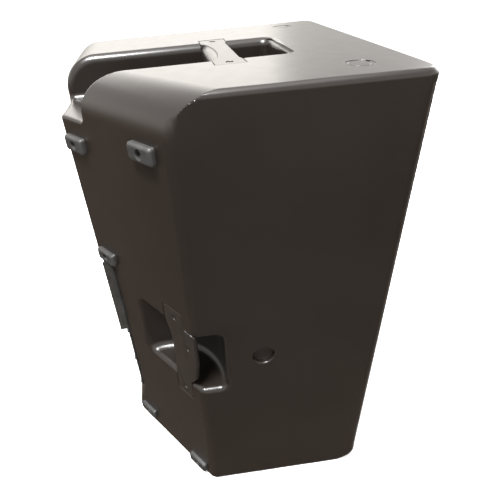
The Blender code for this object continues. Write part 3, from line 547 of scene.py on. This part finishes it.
# ---- cabinet
def plan_row(sides, rear, front, level):
    """The cavity's outline at a level, from insets of the sides, the rear faces and the front."""
    corners = [Vector((-FRONT_HALF_WIDTH, FRONT_Y)), Vector((FRONT_HALF_WIDTH, FRONT_Y)),
               Vector((half_width(REAR_Y), REAR_Y)), RIDGE, NEAR_CORNER]
    lines = []
    for i, inset in enumerate((front, sides, rear, rear, sides)):
        way = (corners[(i + 1) % 5] - corners[i]).normalized()
        lines.append((corners[i] + Vector((-way.y, way.x)) * inset, way))
    row = []
    for i in range(5):
        (p, d), (q, e) = lines[i - 1], lines[i]
        step = ((q.x - p.x) * e.y - (q.y - p.y) * e.x) / (d.x * e.y - d.y * e.x)
        row.append(p + d * step)
    return [(p.x, p.y) for p in row], level


def box_at(low, high, radius=0.0):
    """A cutter block between two corners, with rounded upright edges if asked."""
    half = [(b - a) / 2 for a, b in zip(low, high)]
    flat = rounded_rectangle(half[0], half[1], radius) if radius else [
        (half[0], half[1]), (-half[0], half[1]), (-half[0], -half[1]), (half[0], -half[1])]
    made = stack("block", [(flat, -half[2]), (flat, half[2])])
    made.location = [(a + b) / 2 for a, b in zip(low, high)]
    return made


def seat(half_u, half_v, depth, radius=0.0015):
    """A cutter for a plate's seat, with a small chamfer at its mouth."""
    gap, flare, over = 0.0005, 0.0008, 0.006
    rows = [(gap, -depth), (gap, -flare), (gap + flare, 0.0), (gap + flare + over, over)]
    return stack("seat", [(rounded_rectangle(half_u + grow, half_v + grow, radius + grow), height)
                          for grow, height in rows])


def round_seat(radius, depth, flare):
    """A cutter for a round seat whose mouth is rounded over."""
    profile = [(radius, -depth)]
    for i in range(7):
        angle = math.pi / 2 * i / 6
        profile.append((radius + flare * (1 - math.cos(angle)), -flare * (1 - math.sin(angle))))
    return stack("round_seat", turned([*profile, (radius + flare, 0.010)]))


def rod(radius, low, high, sides=48):
    """A plain round cutter."""
    return stack("rod", turned([(radius, low), (radius, high)], sides))


def keep_blocks():
    """Solids that stay filled behind the channel, the pockets, the bay and the seats."""
    channel = CHANNEL_HALF + 0.0065
    front = -0.160
    blocks = [
        box_at((-channel, CHANNEL_FRONT_Y - WALL, CHANNEL_FLOOR - WALL), (channel, FAR, ABOVE)),
        box_at((-0.092, -0.046, 0.645), (0.092, 0.007, ABOVE)),
        box_at((-FAR, BAY_FLOOR_Y - WALL, 0.012), (0.0945, FAR, BAY_HIGH + WALL)),
        box_at((-FAR, -FAR, GRILLE_HIGH - 0.004), (FAR, front, ABOVE)),
        box_at((-FAR, -FAR, BELOW), (FAR, front, GRILLE_LOW + 0.004)),
    ]
    for x, y, radius in (LEFT_POCKET, RIGHT_POCKET):
        tall = POCKET_HALF + WALL
        column = rod(radius + WALL, -tall, tall, 64)
        column.location = (x, y, POCKET_MIDDLE)
        blocks.append(column)
    deep = 0.022
    for low, high in ((0.200, 0.250), (0.362, 0.402)):
        flat = rounded_rectangle(0.0375, (high - low) / 2, 0.002)
        left = stack("block", [(flat, -deep), (flat, deep)])
        blocks.append(on_cut_face(left, 0.033, (low + high) / 2))
        blocks.append(box_at((0.108, REAR_Y - deep, low), (FAR, FAR, high)))
    for side in (-1, 1):
        spot = (side * half_width(SIDE_CAP[0]), *SIDE_CAP)
        blocks.append(facing(rod(0.020, -0.012, 0.012), spot, (side, 0, 0)))
    return blocks


def cavity():
    """The hollow inside the cabinet, which is open to the front."""
    bend = REAR_TOP_ROUND - WALL
    front = -0.03
    rows = [plan_row(WALL, WALL, front, BODY_BOTTOM + WALL)]
    for degrees in range(0, 91, 15):
        angle = math.radians(degrees)
        level = HEIGHT - REAR_TOP_ROUND + bend * math.sin(angle)
        rows.append(plan_row(WALL, WALL + bend * (1 - math.cos(angle)), front, level))
    return joined_cut(stack("cavity", rows), keep_blocks())


# round seats as (radius, depth, roundness of the mouth)
TOP_CAP_SEAT = (0.0151, 0.0038, 0.0004)
SIDE_CAP_SEAT = (0.0151, 0.0081, 0.0022)
FOOT_SEAT = (0.0163, 0.0036, 0.0006)
POLE_FLANGE_SEAT = (0.0303, 0.0023, 0.0006)
POLE_HOLE = (0.0208, 0.03, 0.0)


def seat_cutters():
    """Cutters for the seats of the plates, caps, feet and pole cup."""
    top = seat(PLATE_HALF, (PLATE_Y[1] - PLATE_Y[0]) / 2, 0.0066)
    cutters = [facing(top, (0.0, sum(PLATE_Y) / 2, HEIGHT), (0, 0, 1))]
    for place in (on_cut_face, on_rear_face):
        for low, high, near, far in SIDE_TABS:
            made = seat((far - near) / 2, (high - low) / 2, 0.0076, 0.003)
            cutters.append(place(made, (near + far) / 2, (low + high) / 2))
    for side in (-1, 1):
        spot = (side * TOP_CAP[0], TOP_CAP[1], HEIGHT)
        cutters.append(facing(round_seat(*TOP_CAP_SEAT), spot, (0, 0, 1)))
        spot = (side * half_width(SIDE_CAP[0]), *SIDE_CAP)
        cutters.append(facing(round_seat(*SIDE_CAP_SEAT), spot, (side, SIDE_TAPER, 0)))
    for x, y in FEET:
        cutters.append(facing(round_seat(*FOOT_SEAT), (x, y, BODY_BOTTOM), (0, 0, -1)))
    for seat_size in (POLE_FLANGE_SEAT, POLE_HOLE):
        cutters.append(facing(round_seat(*seat_size), (0, POLE_Y, BODY_BOTTOM), (0, 0, -1)))
    return cutters


def cabinet():
    body = sculpt("cabinet_moulding", cabinet_field, (-0.1971, -0.2057, -0.0057),
                  (0.1971, 0.1961, 0.6718), 0.0024, 0.14, CABINET)
    openings = [
        box_at((-FAR, -FAR, GRILLE_LOW), (FAR, GRILLE_REAR, GRILLE_HIGH)),
        box_at((-0.032, 0.14, 0.116), (0.078, 0.18, 0.389)),
        box_at((-0.0575, -0.0985, HEIGHT - 0.0028), (0.0575, -0.06, ABOVE), 0.008),
    ]
    joined_cut(body, [cavity(), *openings, *seat_cutters()])
    field_normals(body.data, cabinet_field)
    fitted(body, "cabinet_plastic", "cabinet_shell")


# ---- grille
HOLE_PITCH = 0.00660
HOLE_SHARE = 0.83  # hole size against cell size
CELL_SIZE = HOLE_PITCH / math.sqrt(3)
GRILLE_COLUMNS, GRILLE_ROWS = 57, 107
SHEET_LOW, SHEET_HIGH = GRILLE_LOW + 0.0003, GRILLE_HIGH - 0.0003
SHEET_MIDDLE = (SHEET_LOW + SHEET_HIGH) / 2
BEND = FRONT_ROUND - GRILLE_INSET
STRAIGHT = FRONT_HALF_WIDTH - FRONT_ROUND
BEND_Y = FRONT_Y + FRONT_ROUND


def on_grille_line(along, inset):
    """Plan points at distances along the bent sheet, moved in by an inset."""
    turn = np.maximum(np.abs(along) - STRAIGHT, 0.0) / BEND
    x = np.sign(along) * (np.minimum(np.abs(along), STRAIGHT) + (BEND - inset) * np.sin(turn))
    return x, BEND_Y - (BEND - inset) * np.cos(turn)


def two_skins(along, height, insets):
    """Points of a flat sheet wrapped round the grille's line, once for each inset."""
    skins = []
    for inset in insets:
        x, y = on_grille_line(along, inset)
        skins.append(np.stack([x, y, height], axis=1))
    return np.concatenate(skins)


def bent_sheet(along, heights, skins):
    """A closed sheet of foam that follows the grille's line between two insets."""
    u, z = np.meshgrid(along, heights, indexing="ij")
    layers = two_skins(u.ravel(), z.ravel(), skins)
    wide, tall = len(along), len(heights)
    index = np.arange(wide * tall).reshape(wide, tall)
    corners = [index[:-1, :-1], index[1:, :-1], index[1:, 1:], index[:-1, 1:]]
    front = np.stack(corners, axis=-1).reshape(-1, 4)
    edge = np.concatenate([index[:, 0], index[-1, 1:], index[-2::-1, -1], index[0, -2:0:-1]])
    after = np.roll(edge, -1)
    back = wide * tall
    rim = np.stack([edge, edge + back, after + back, after], axis=1)
    faces = np.concatenate([front, front[:, ::-1] + back, rim])
    mesh = mesh_from("foam_lining", layers, faces)
    return link("foam_lining", smooth_shaded(mesh, GRILLE_SHARP_EDGE), FOAM)


def hole_centres():
    """Centres of the hexagonal cells on the flat sheet, in staggered rows."""
    spots = []
    for row in range(GRILLE_ROWS):
        count = GRILLE_COLUMNS - row % 2
        line = (np.arange(count) - (count - 1) / 2) * HOLE_PITCH
        height = SHEET_MIDDLE + (row - (GRILLE_ROWS - 1) / 2) * 1.5 * CELL_SIZE
        spots.append(np.stack([line, np.full(count, height)], axis=1))
    return np.concatenate(spots)


def metal_between(cells, holes):
    """Triangles of the metal between the holes, and the outer edges of all the cells."""
    edges, around = {}, {}
    for cell, own in zip(cells.tolist(), holes.tolist()):
        for k in range(6):
            n = (k + 1) % 6
            edges[(cell[k], cell[n])] = (own[k], own[n])
            around.setdefault(cell[k], []).append(own[k])
    front, rim = [], []
    for (a, b), (c, d) in edges.items():
        if (b, a) not in edges:
            front += [(a, b, d), (a, d, c)]
            rim.append((a, b))
        elif a < b:
            e, f = edges[(b, a)]
            front += [(c, f, e), (c, e, d)]
    for shared, own in around.items():
        if len(own) == 3:
            front.append(tuple(own))
        elif len(own) == 2:
            front.append((shared, *own))
    return np.array(front), np.array(rim)


def widen_border(flat, edge):
    """Moves the outer points of the cells out to the sheet's straight border."""
    reach = STRAIGHT + BEND * math.radians(61.0)
    side = (GRILLE_COLUMNS - 1) / 2 * HOLE_PITCH - 1e-6
    end = (GRILLE_ROWS - 1) / 2 * 1.5 * CELL_SIZE + 0.25 * CELL_SIZE
    offset = flat[edge] - (0.0, SHEET_MIDDLE)
    at_end = np.abs(offset[:, 1]) > end
    at_side = np.abs(offset[:, 0]) > side + at_end * 1e-4
    ends = np.where(offset[:, 1] > 0, SHEET_HIGH, SHEET_LOW)
    flat[edge, 0] = np.where(at_side, np.sign(offset[:, 0]) * reach, flat[edge, 0])
    flat[edge, 1] = np.where(at_end, ends, flat[edge, 1])


def perforated_sheet():
    """The steel grille: hexagonal holes in staggered rows, with a plain border."""
    spots = hole_centres()
    angles = np.radians(90 + 60 * np.arange(6))
    corner = np.stack([np.cos(angles), np.sin(angles)], axis=1) * CELL_SIZE
    outer = (spots[:, None] + corner).reshape(-1, 2)
    keys = np.round(outer / 1e-5).astype(np.int64)
    _, first, cells = np.unique(keys, axis=0, return_index=True, return_inverse=True)
    outer = outer[first]
    inner = (spots[:, None] + corner * HOLE_SHARE).reshape(-1, 2)
    flat = np.concatenate([outer, inner])
    holes = np.arange(len(inner)).reshape(-1, 6) + len(outer)
    front, rim = metal_between(cells.reshape(-1, 6), holes)
    one, two, three = flat[front[:, 0]], flat[front[:, 1]], flat[front[:, 2]]
    flipped = np.cross(two - one, three - one) < 0
    front = np.where(flipped[:, None], front[:, ::-1], front)
    widen_border(flat, np.unique(rim))
    layers = two_skins(flat[:, 0], flat[:, 1], (0.0, GRILLE_THICK))
    back = len(flat)
    ahead = np.roll(holes, -1, axis=1)
    walls = []
    for a, b in ((holes.ravel(), ahead.ravel()), (rim[:, 1], rim[:, 0])):
        walls += [np.stack([a, b, b + back], axis=1), np.stack([a, b + back, a + back], axis=1)]
    faces = np.concatenate([front, front[:, ::-1] + back, *walls])
    mesh = mesh_from("perforated_grille", layers, faces)
    return link("perforated_grille", smooth_shaded(mesh, GRILLE_SHARP_EDGE), GRILLE)


def grille_and_foam():
    fitted(perforated_sheet(), "grille_steel", "front_grille")
    edge = STRAIGHT + BEND * math.radians(55.0)
    bend = np.linspace(STRAIGHT, edge, 8)
    along = np.concatenate([-bend[::-1], np.linspace(-STRAIGHT, STRAIGHT, 30)[1:-1], bend])
    skins = (GRILLE_THICK + 0.0003, GRILLE_THICK + 0.0018)
    foam = bent_sheet(along, np.linspace(0.0365, 0.6455, 40), skins)
    fitted(foam, "acoustic_foam", "grille_foam")


# ---- screws
@functools.cache
def screw_mesh(length):
    """A pan head with a cross recess, on a threaded shank, its top at the origin."""
    head, radius, neck, tip, pitch = 0.0040, 0.0018, 0.0019, 0.0002, 0.0008
    profile = [(tip, -neck - length)]
    steps = 2 * max(2, int(length / pitch))
    for i in range(steps + 1):
        depth = -neck - length + length * i / steps * 0.98 + 0.0001
        profile.append((radius * (0.86 if i % 2 else 1.0), depth))
    profile += [(head, -neck), (head, -0.0011), (head * 0.93, -0.0006), (head * 0.78, -0.00025),
                (head * 0.5, -0.00005), (tip, 0.0)]
    made = stack(f"screw_{round(length * 1000)}mm", turned(profile, 24), SCREW)
    arms = []
    for turn in (0.0, math.pi / 2):
        sizes = [(0.0014, 0.00035, -0.0014), (0.0024, 0.00060, 0.0010)]
        arm = stack("arm", [([(u, v), (-u, v), (-u, -v), (u, -v)], z) for u, v, z in sizes])
        arm.rotation_euler.z = turn
        arms.append(arm)
    joined_cut(made, arms)
    mesh = smooth_shaded(made.data)
    bpy.data.objects.remove(made, do_unlink=True)
    return mesh


def screw(name, length):
    return link(name, screw_mesh(length))


# ---- handles
def top_handle_field(x, y, z):
    """The plate over the channel, its scallop, and the rounded grip beneath it."""
    middle = (PLATE_Y[0] + PLATE_Y[1]) / 2
    half = (PLATE_Y[1] - PLATE_Y[0]) / 2
    waist = 0.0024 * ease(0.062, 0.048, np.abs(x))
    flat = np.maximum(y - PLATE_Y[1], PLATE_Y[0] + waist - y)
    flat = round_max(np.abs(x) - PLATE_HALF, flat, 0.0022)
    bite = np.hypot(x / 0.0545, (y - PLATE_Y[1] - 0.0002) / 0.0125)
    flat = round_max(flat, (1.0 - bite) * 0.0125, 0.0012)
    plate = round_max(flat, np.abs(z - HEIGHT + 0.0033) - 0.0030, 0.0009)
    across = np.abs(y - middle - 0.0004) - half + 0.0006
    across = round_max(across, np.abs(z - 0.6522) - 0.0107, 0.0088)
    grip = round_max(across, np.abs(x) - 0.0560, 0.004)
    return round_min(plate, grip, 0.0012)


SCREW_MOUTH, SCREW_HOLE = (0.0043, 0.0007), 0.0021


def top_handle():
    """The strap over the channel, with its two screws."""
    body = sculpt("top_handle", top_handle_field, (-0.0862, -0.0402, 0.6376),
                  (0.0862, 0.0012, 0.6678), 0.0007, 0.30, HANDLE)
    radius, flare = SCREW_MOUTH
    cutters = []
    for x in (-TOP_SCREW[0], TOP_SCREW[0]):
        spot = (x, TOP_SCREW[1], HEIGHT - 0.0003)
        cutters.append(facing(round_seat(radius, 0.0028, flare), spot, (0, 0, 1)))
        cutters.append(facing(rod(SCREW_HOLE, -0.012, 0.001, 20), spot, (0, 0, 1)))
    joined_cut(body, cutters)
    field_normals(body.data, top_handle_field)
    fitted(body, "handle_plastic", "top_handle_plate")
    for number, x in enumerate((-TOP_SCREW[0], TOP_SCREW[0]), 1):
        made = screw(f"top_screw_{number}", 0.010)
        made.location = (x, TOP_SCREW[1], HEIGHT - SCREW_TOP)
        fitted(made, "screw_steel", f"top_handle_screw_{number}")


# Corners of a side plate as (distance from the upright edge, height, radius)
SIDE_OUTLINE = [
    (0.060, 0.389, 0.004), (0.022, 0.389, 0.004), (0.022, 0.3605, 0.004), (0.004, 0.3605, 0.006),
    (0.0035, 0.310, 0.030), (0.010, 0.268, 0.020), (0.022, 0.252, 0.004), (0.022, 0.213, 0.004),
    (0.056, 0.213, 0.004), (0.056, 0.252, 0.004), (0.052, 0.285, 0.020), (0.052, 0.335, 0.020),
    (0.060, 0.3605, 0.006),
]


def rounded_outline(corners, segments=6):
    """An outline whose corners are replaced by arcs of their own radius."""
    outline = []
    for i, (x, y, radius) in enumerate(corners):
        here = Vector((x, y))
        back = (Vector(corners[i - 1][:2]) - here).normalized()
        ahead = (Vector(corners[(i + 1) % len(corners)][:2]) - here).normalized()
        half = back.angle(ahead) / 2
        start = here + back * radius / math.tan(half)
        end = here + ahead * radius / math.tan(half)
        centre = here + (back + ahead).normalized() * radius / math.sin(half)
        first = math.atan2(*(start - centre).yx)
        turn = math.atan2(*(end - centre).yx) - first
        turn = (turn + math.pi) % (2 * math.pi) - math.pi
        for k in range(segments + 1):
            angle = first + turn * k / segments
            outline.append((centre.x + radius * math.cos(angle),
                            centre.y + radius * math.sin(angle)))
    return outline


def inset_outline(outline, inset):
    """A counter-clockwise outline moved in by an inset."""
    moved = []
    for i, point in enumerate(outline):
        here = Vector(point)
        way = Vector(outline[(i + 1) % len(outline)]) - Vector(outline[i - 1])
        moved.append(tuple(here + Vector((-way.y, way.x)).normalized() * inset))
    return moved


def side_handle(side, place):
    """A side plate with rounded edges, its screws and their seats."""
    turn = -1 if side == "left" else 1
    outline = [(turn * x, y) for x, y in rounded_outline(SIDE_OUTLINE)]
    if sum(a[0] * b[1] - b[0] * a[1] for a, b in zip(outline, outline[1:] + outline[:1])) < 0:
        outline.reverse()
    thick, sink = 0.007, 0.0003
    profile = [(0.0016, -thick), (0.0005, -thick + 0.0004), (0.0, -thick + 0.0016), (0.0, -0.0016),
               (0.00018, -0.0009), (0.00050, -0.0004), (0.00095, -0.00012), (0.0015, 0.0)]
    rows = [(inset_outline(outline, inset), height - sink) for inset, height in profile]
    plate = stack(f"{side}_side_handle", rows, HANDLE)
    radius, flare = SCREW_MOUTH
    cutters = []
    for along, height, _, deep in SIDE_SCREWS:
        mouth = round_seat(radius, 0.0030, flare)
        mouth.location = (turn * along, height, -sink)
        hole = rod(SCREW_HOLE, -deep, -0.001, 20)
        hole.location = (turn * along, height, 0.0)
        cutters += [mouth, hole]
    joined_cut(plate, cutters)
    smooth_shaded(plate.data)
    fitted(place(plate, 0.0, 0.0), "handle_plastic", f"{side}_handle_plate")
    for number, (along, height, shank, _) in enumerate(SIDE_SCREWS, 1):
        made = place(screw(f"{side}_screw_{number}", shank), along, height, -SCREW_TOP)
        fitted(made, "screw_steel", f"{side}_handle_screw_{number}")


# ---- rubber and caps
def bumper_rows():
    """Outlines of a block with bevelled edges and a countersunk bore."""
    block = [(0.0, 0.0), (0.0, 0.0046), (0.0003, 0.0053), (0.0019, 0.0071), (0.0026, 0.0075)]
    bore = [(0.0061, 0.0075), (0.0054, 0.0069), (0.0051, 0.0028), (0.0034, 0.0024), (0.0034, 0.0)]
    rows = []
    for inset, height in block:
        radius = max(0.0040 - inset * 0.6, 0.001)
        rows.append((rounded_rectangle(0.020 - inset, 0.010 - inset, radius, 7), height))
    return rows + turned(bore, 32)


def bumpers():
    """Rubber blocks on the cut-off face, each with a screw in its bore."""
    for number, (along, height) in enumerate(BUMPERS, 1):
        made = ring(f"rubber_bumper_{number}", bumper_rows(), BUMPER)
        on_cut_face(made, along, height, 0.0003)
        fitted(made, "bumper_rubber", f"rear_bumper_{number}")
        head = on_cut_face(screw(f"bumper_screw_{number}", 0.0008), along, height, 0.0048)
        fitted(head, "screw_steel")


def feet():
    """Round rubber feet with a recess for their screw."""
    profile = [(0.0160, 0.0045), (0.0160, 0.0012), (0.0157, 0.0005), (0.0149, 0.0), (0.0078, 0.0),
               (0.0070, 0.0004), (0.0066, 0.0030), (0.0024, 0.0030), (0.0024, 0.0045)]
    for number, (x, y) in enumerate(FEET, 1):
        made = ring(f"rubber_foot_{number}", turned(profile, 40), FOOT)
        made.location = (x, y, 0.0)
        fitted(made, "bumper_rubber", f"foot_{number}")


def cap(name, thick):
    """A cap with a rounded edge, a shallow ring groove and a pry notch."""
    profile = [(0.0148, -thick), (0.01505, -thick + 0.0003), (0.01505, -0.0006), (0.0149, -0.0002),
               (0.0146, -0.00005), (0.0142, 0.0), (0.0112, 0.0), (0.0109, -0.0003),
               (0.0106, -0.0003), (0.0103, 0.0), (0.0004, 0.0001)]
    made = stack(name, turned(profile, 56), CAP)
    joined_cut(made, [box_at((0.0118, -0.0030, -0.0016), (0.0170, 0.0030, 0.0010))])
    smooth_shaded(made.data)
    return made


def caps():
    for sign, side in ((-1, "left"), (1, "right")):
        top = cap(f"top_plug_{side}", 0.0030)
        top.location = (sign * TOP_CAP[0], TOP_CAP[1], HEIGHT - 0.0003)
        top.rotation_euler.z = math.radians(-60)
        fitted(top, "cabinet_plastic", f"top_cap_{side}")
        outward = Vector((sign, SIDE_TAPER, 0.0)).normalized()
        spot = Vector((sign * half_width(SIDE_CAP[0]), *SIDE_CAP)) - outward * SIDE_CAP_DEPTH
        made = facing(cap(f"side_plug_{side}", 0.0027), spot, outward)
        fitted(made, "cabinet_plastic", f"side_cap_{side}")


# ---- amplifier bay
PANEL_Y = BAY_FLOOR_Y + 0.0033
KNOBS = [(-0.005, 0.236), (0.051, 0.236)]
SOCKETS = [(-0.005, 0.205), (0.051, 0.205), (-0.005, 0.169)]
INLET = (0.046, 0.131)
LAMP = (0.023, 0.236)


def on_panel(made, x, z, out=0.0):
    """Puts an object on the amplifier panel."""
    return upright(made, (-1.0, 0.0), (0.0, 1.0), (x, PANEL_Y + out, z))


# a knob's rows as (radius, share that the grooves take, height)
KNOB_PROFILE = [
    (0.0030, 0.0, -0.0100), (0.0030, 0.0, 0.0006), (0.0082, 0.0, 0.0006), (0.0082, 0.0, 0.0022),
    (0.0080, 0.05, 0.0028), (0.0077, 0.05, 0.0118), (0.0073, 0.02, 0.0130), (0.0067, 0.0, 0.0138),
    (0.0060, 0.0, 0.0140),
]
DIAL_RADIUS = 0.0118


def ribbed(radius, groove):
    """A circle whose points lie in pairs on ribs and in grooves."""
    return [(x * (1 - groove * (i // 2 % 2)), y * (1 - groove * (i // 2 % 2)))
            for i, (x, y) in enumerate(circle(radius, 96))]


def dial(number, x, z):
    """Eleven marks round a knob, the ends and the middle one longer."""
    for tick in range(11):
        angle = math.radians(-150 + 30 * tick)
        long = 0.0011 if tick % 5 else 0.0017
        bar = [(rounded_rectangle(0.00030, long, 0.0002, 2), h) for h in (0.0001, 0.0003)]
        mark = on_panel(stack(f"dial_mark_{number}_{tick + 1}", bar, MARK),
                        x - DIAL_RADIUS * math.sin(angle), z + DIAL_RADIUS * math.cos(angle))
        mark.matrix_world = mark.matrix_world @ Matrix.Rotation(-angle, 4, "Z")
        fitted(mark, "panel_aluminium")


def knobs():
    """Ribbed knobs with a pale pointer line, each in its dial."""
    for number, (x, z) in enumerate(KNOBS, 1):
        rows = [(ribbed(radius, groove), height) for radius, groove, height in KNOB_PROFILE]
        knob = on_panel(stack(f"ribbed_knob_{number}", rows, KNOB), x, z)
        node = f"level_knob_{number}"
        fitted(knob, "knob_plastic", node, body=node)
        bar = [(rounded_rectangle(0.00055, 0.0026, 0.0003), h) for h in (0.01405, 0.0142)]
        line = on_panel(stack(f"knob_line_{number}", bar, MARK), x, z + 0.0036)
        fitted(line, "knob_plastic", body=node)
        dial(number, x, z)


def tube(name, outer, inner, low, high, material, sides=32):
    corners = [(outer, low), (outer, high), (inner, high), (inner, low)]
    return ring(name, turned(corners, sides), material)


def contacts():
    """Three contacts in each round socket and in the mains inlet."""
    pin_profile = [(0.00110, -0.0205), (0.00110, -0.0085), (0.00085, -0.0078), (0.0004, -0.0075)]
    base_profile = [(0.0083, -0.0225), (0.0083, -0.0202), (0.0079, -0.0198)]
    reach = 0.0048
    for number, (x, z) in enumerate(SOCKETS, 1):
        for pin, degrees in enumerate((90, 210, 330), 1):
            angle = math.radians(degrees)
            made = stack(f"socket_{number}_pin_{pin}", turned(pin_profile, 16), PIN)
            on_panel(made, x - reach * math.cos(angle), z + reach * math.sin(angle))
            fitted(made, "screw_steel")
        base = stack(f"socket_{number}_base", turned(base_profile, 32), DARK_PLASTIC)
        fitted(on_panel(base, x, z), "jack_plastic")
        collar = tube(f"socket_{number}_collar", 0.0099, 0.0087, 0.0023, 0.0030, PIN)
        fitted(on_panel(collar, x, z), "screw_steel")
    for pin, (dx, dz) in enumerate(((-0.007, -0.0015), (0.0, 0.0022), (0.007, -0.0015)), 1):
        rows = [(rounded_rectangle(0.0010, 0.0021, 0.0003), h) for h in (-0.0136, -0.0030)]
        rows.append((rounded_rectangle(0.0006, 0.0016, 0.0003), -0.0022))
        made = on_panel(stack(f"inlet_pin_{pin}", rows, PIN), INLET[0] + dx, INLET[1] + dz)
        fitted(made, "screw_steel")


def panel_trim():
    """Panel screws and the signal lamp."""
    spots = [(x, z) for z in (0.2485, 0.1130, 0.1800) for x in (-0.0365, 0.0820)]
    for number, (x, z) in enumerate(spots, 1):
        fitted(on_panel(screw(f"panel_screw_{number}", 0.0006), x, z, 0.0027), "screw_steel")
    dome = [(0.0021, 0.0002), (0.0021, 0.0009), (0.0018, 0.0016), (0.0011, 0.0021),
            (0.0004, 0.0022)]
    lamp = on_panel(stack("signal_lamp", turned(dome, 24), LENS), *LAMP)
    fitted(lamp, "knob_plastic")
    bezel = on_panel(tube("lamp_bezel", 0.0032, 0.0023, 0.0002, 0.0012, DARK_PLASTIC, 24), *LAMP)
    fitted(bezel, "jack_plastic")


# ---- finishes of the CAD nodes that stay
FINISHES = {
    "front_baffle": BOARD, "array_housing": BOARD, "port_tube_": DARK_PLASTIC,
    "array_driver_": BASKET, "array_cone_": PAPER, "woofer_basket": BASKET,
    "woofer_magnet": ZINC, "woofer_cone": PAPER, "voice_coil": COPPER, "amplifier_panel": PANEL,
    "heat_sink": SINK, "amplifier_board": CIRCUIT, "power_supply": CIRCUIT,
    "input_jack_": DARK_PLASTIC, "line_out_jack": DARK_PLASTIC, "mains_inlet": DARK_PLASTIC,
    "mode_button": KNOB, "power_switch": KNOB, "pole_cup": CAST,
}


def finish_nodes():
    for name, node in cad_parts.items():
        for start, material in FINISHES.items():
            if name.startswith(start):
                for holder in node.material_slots:
                    holder.material = material


# ---- stage
# the sky's colour by height, from straight down at 0 to straight up at 1
SKY = [(0.47, (0.085, 0.066, 0.052)), (0.51, (0.40, 0.385, 0.36)), (0.60, (0.85, 0.83, 0.79)),
       (0.72, (0.55, 0.55, 0.55)), (1.0, (0.40, 0.40, 0.40))]
SKY_STRENGTH = 2.0
# lights as (name, spot, target, size, power, colour)
WHITE, WARM = (1.0, 1.0, 1.0), (1.0, 0.96, 0.90)
SOFTBOXES = [
    ("overhead", (0.0, 0.0, 4.5), (0.0, 0.0, 0.0), (4.0, 4.0), 120.0, WHITE),
    ("key", (-0.6, 0.5, 2.2), (0.0, 0.0, 0.3), (0.50, 0.36), 130.0, WHITE),
    ("far_panel", (2.6, 0.5, 1.75), (0.0, 0.0, 0.6), (3.0, 1.5), 36.0, WARM),
    ("front_panel", (1.6, -2.6, 1.2), (0.0, 0.0, 0.4), (2.0, 1.6), 60.0, WHITE),
]
CAMERA_SPOT = (-0.54997, 0.05812 + SHIFT, 0.75936)
CAMERA_RIGHT = Vector((-0.13825935, -0.98798079, -0.06912531))
CAMERA_DOWN = Vector((-0.55805354, 0.13537527, -0.81868784))
CAMERA_AHEAD = Vector((0.81820572, -0.07461563, -0.57006308))


def pale_floor():
    """A wide floor that reflections leave out, as the photographed one was dark."""
    pale = (0.90, 0.90, 0.90)
    paper = Surface("floor_paper", pale, 0.9, specular=0.2)
    base = paper.colours(paper.noise(3.0), pale, shade(pale, 0.99), 0.0, 1.0)
    paper.set("Base Color", base)
    paper.shader.inputs["Emission Color"].default_value = (1.0, 1.0, 1.0, 1.0)
    paper.shader.inputs["Emission Strength"].default_value = 0.25
    corners = [(-80, -80, 0), (80, -80, 0), (80, 80, 0), (-80, 80, 0)]
    floor = link("floor", mesh_from("floor", corners, np.array([[0, 1, 2, 3]])), paper.material)
    floor.visible_glossy = False


def sky():
    """A world that is dim and warm below the horizon and brightest just above it."""
    world = bpy.data.worlds.new("studio")
    bpy.context.scene.world = world
    world.use_nodes = True
    tree = world.node_tree
    background = tree.nodes["Background"]
    background.inputs["Strength"].default_value = SKY_STRENGTH
    place = tree.nodes.new("ShaderNodeTexCoord")
    split = tree.nodes.new("ShaderNodeSeparateXYZ")
    rise = tree.nodes.new("ShaderNodeMapRange")
    rise.inputs["From Min"].default_value = -1.0
    ramp = tree.nodes.new("ShaderNodeValToRGB")
    tree.links.new(place.outputs["Generated"], split.inputs["Vector"])
    tree.links.new(split.outputs["Z"], rise.inputs["Value"])
    tree.links.new(rise.outputs["Result"], ramp.inputs["Fac"])
    tree.links.new(ramp.outputs["Color"], background.inputs["Color"])
    stops = ramp.color_ramp.elements
    while len(stops) < len(SKY):
        stops.new(0.5)
    for stop, (height, colour) in zip(stops, SKY):
        stop.position = height
        stop.color = (*colour, 1.0)


def softbox(name, spot, target, size, power, colour):
    lamp = bpy.data.lights.new(name, "AREA")
    lamp.shape = "RECTANGLE"
    lamp.size, lamp.size_y = size
    lamp.energy = power
    lamp.color = colour
    made = link(name, lamp)
    made.location = spot
    made.rotation_euler = (Vector(target) - Vector(spot)).to_track_quat("-Z", "Y").to_euler()


def camera():
    """The photograph's viewpoint."""
    made = link("camera", bpy.data.cameras.new("camera"))
    turn = Matrix((CAMERA_RIGHT, -CAMERA_DOWN, -CAMERA_AHEAD)).transposed()
    made.matrix_world = Matrix.Translation(CAMERA_SPOT) @ turn.to_4x4()
    made.data.sensor_width = 36.0
    made.data.lens = 29.647
    made.data.shift_x = 0.0719
    made.data.shift_y = -0.0115
    made.data.clip_start = 0.01
    bpy.context.scene.camera = made


cabinet()
grille_and_foam()
top_handle()
side_handle("left", on_cut_face)
side_handle("right", on_rear_face)
bumpers()
feet()
caps()
knobs()
contacts()
panel_trim()
finish_nodes()

pale_floor()
sky()
for light in SOFTBOXES:
    softbox(*light)
bpy.context.scene.view_settings.view_transform = "Standard"
camera()
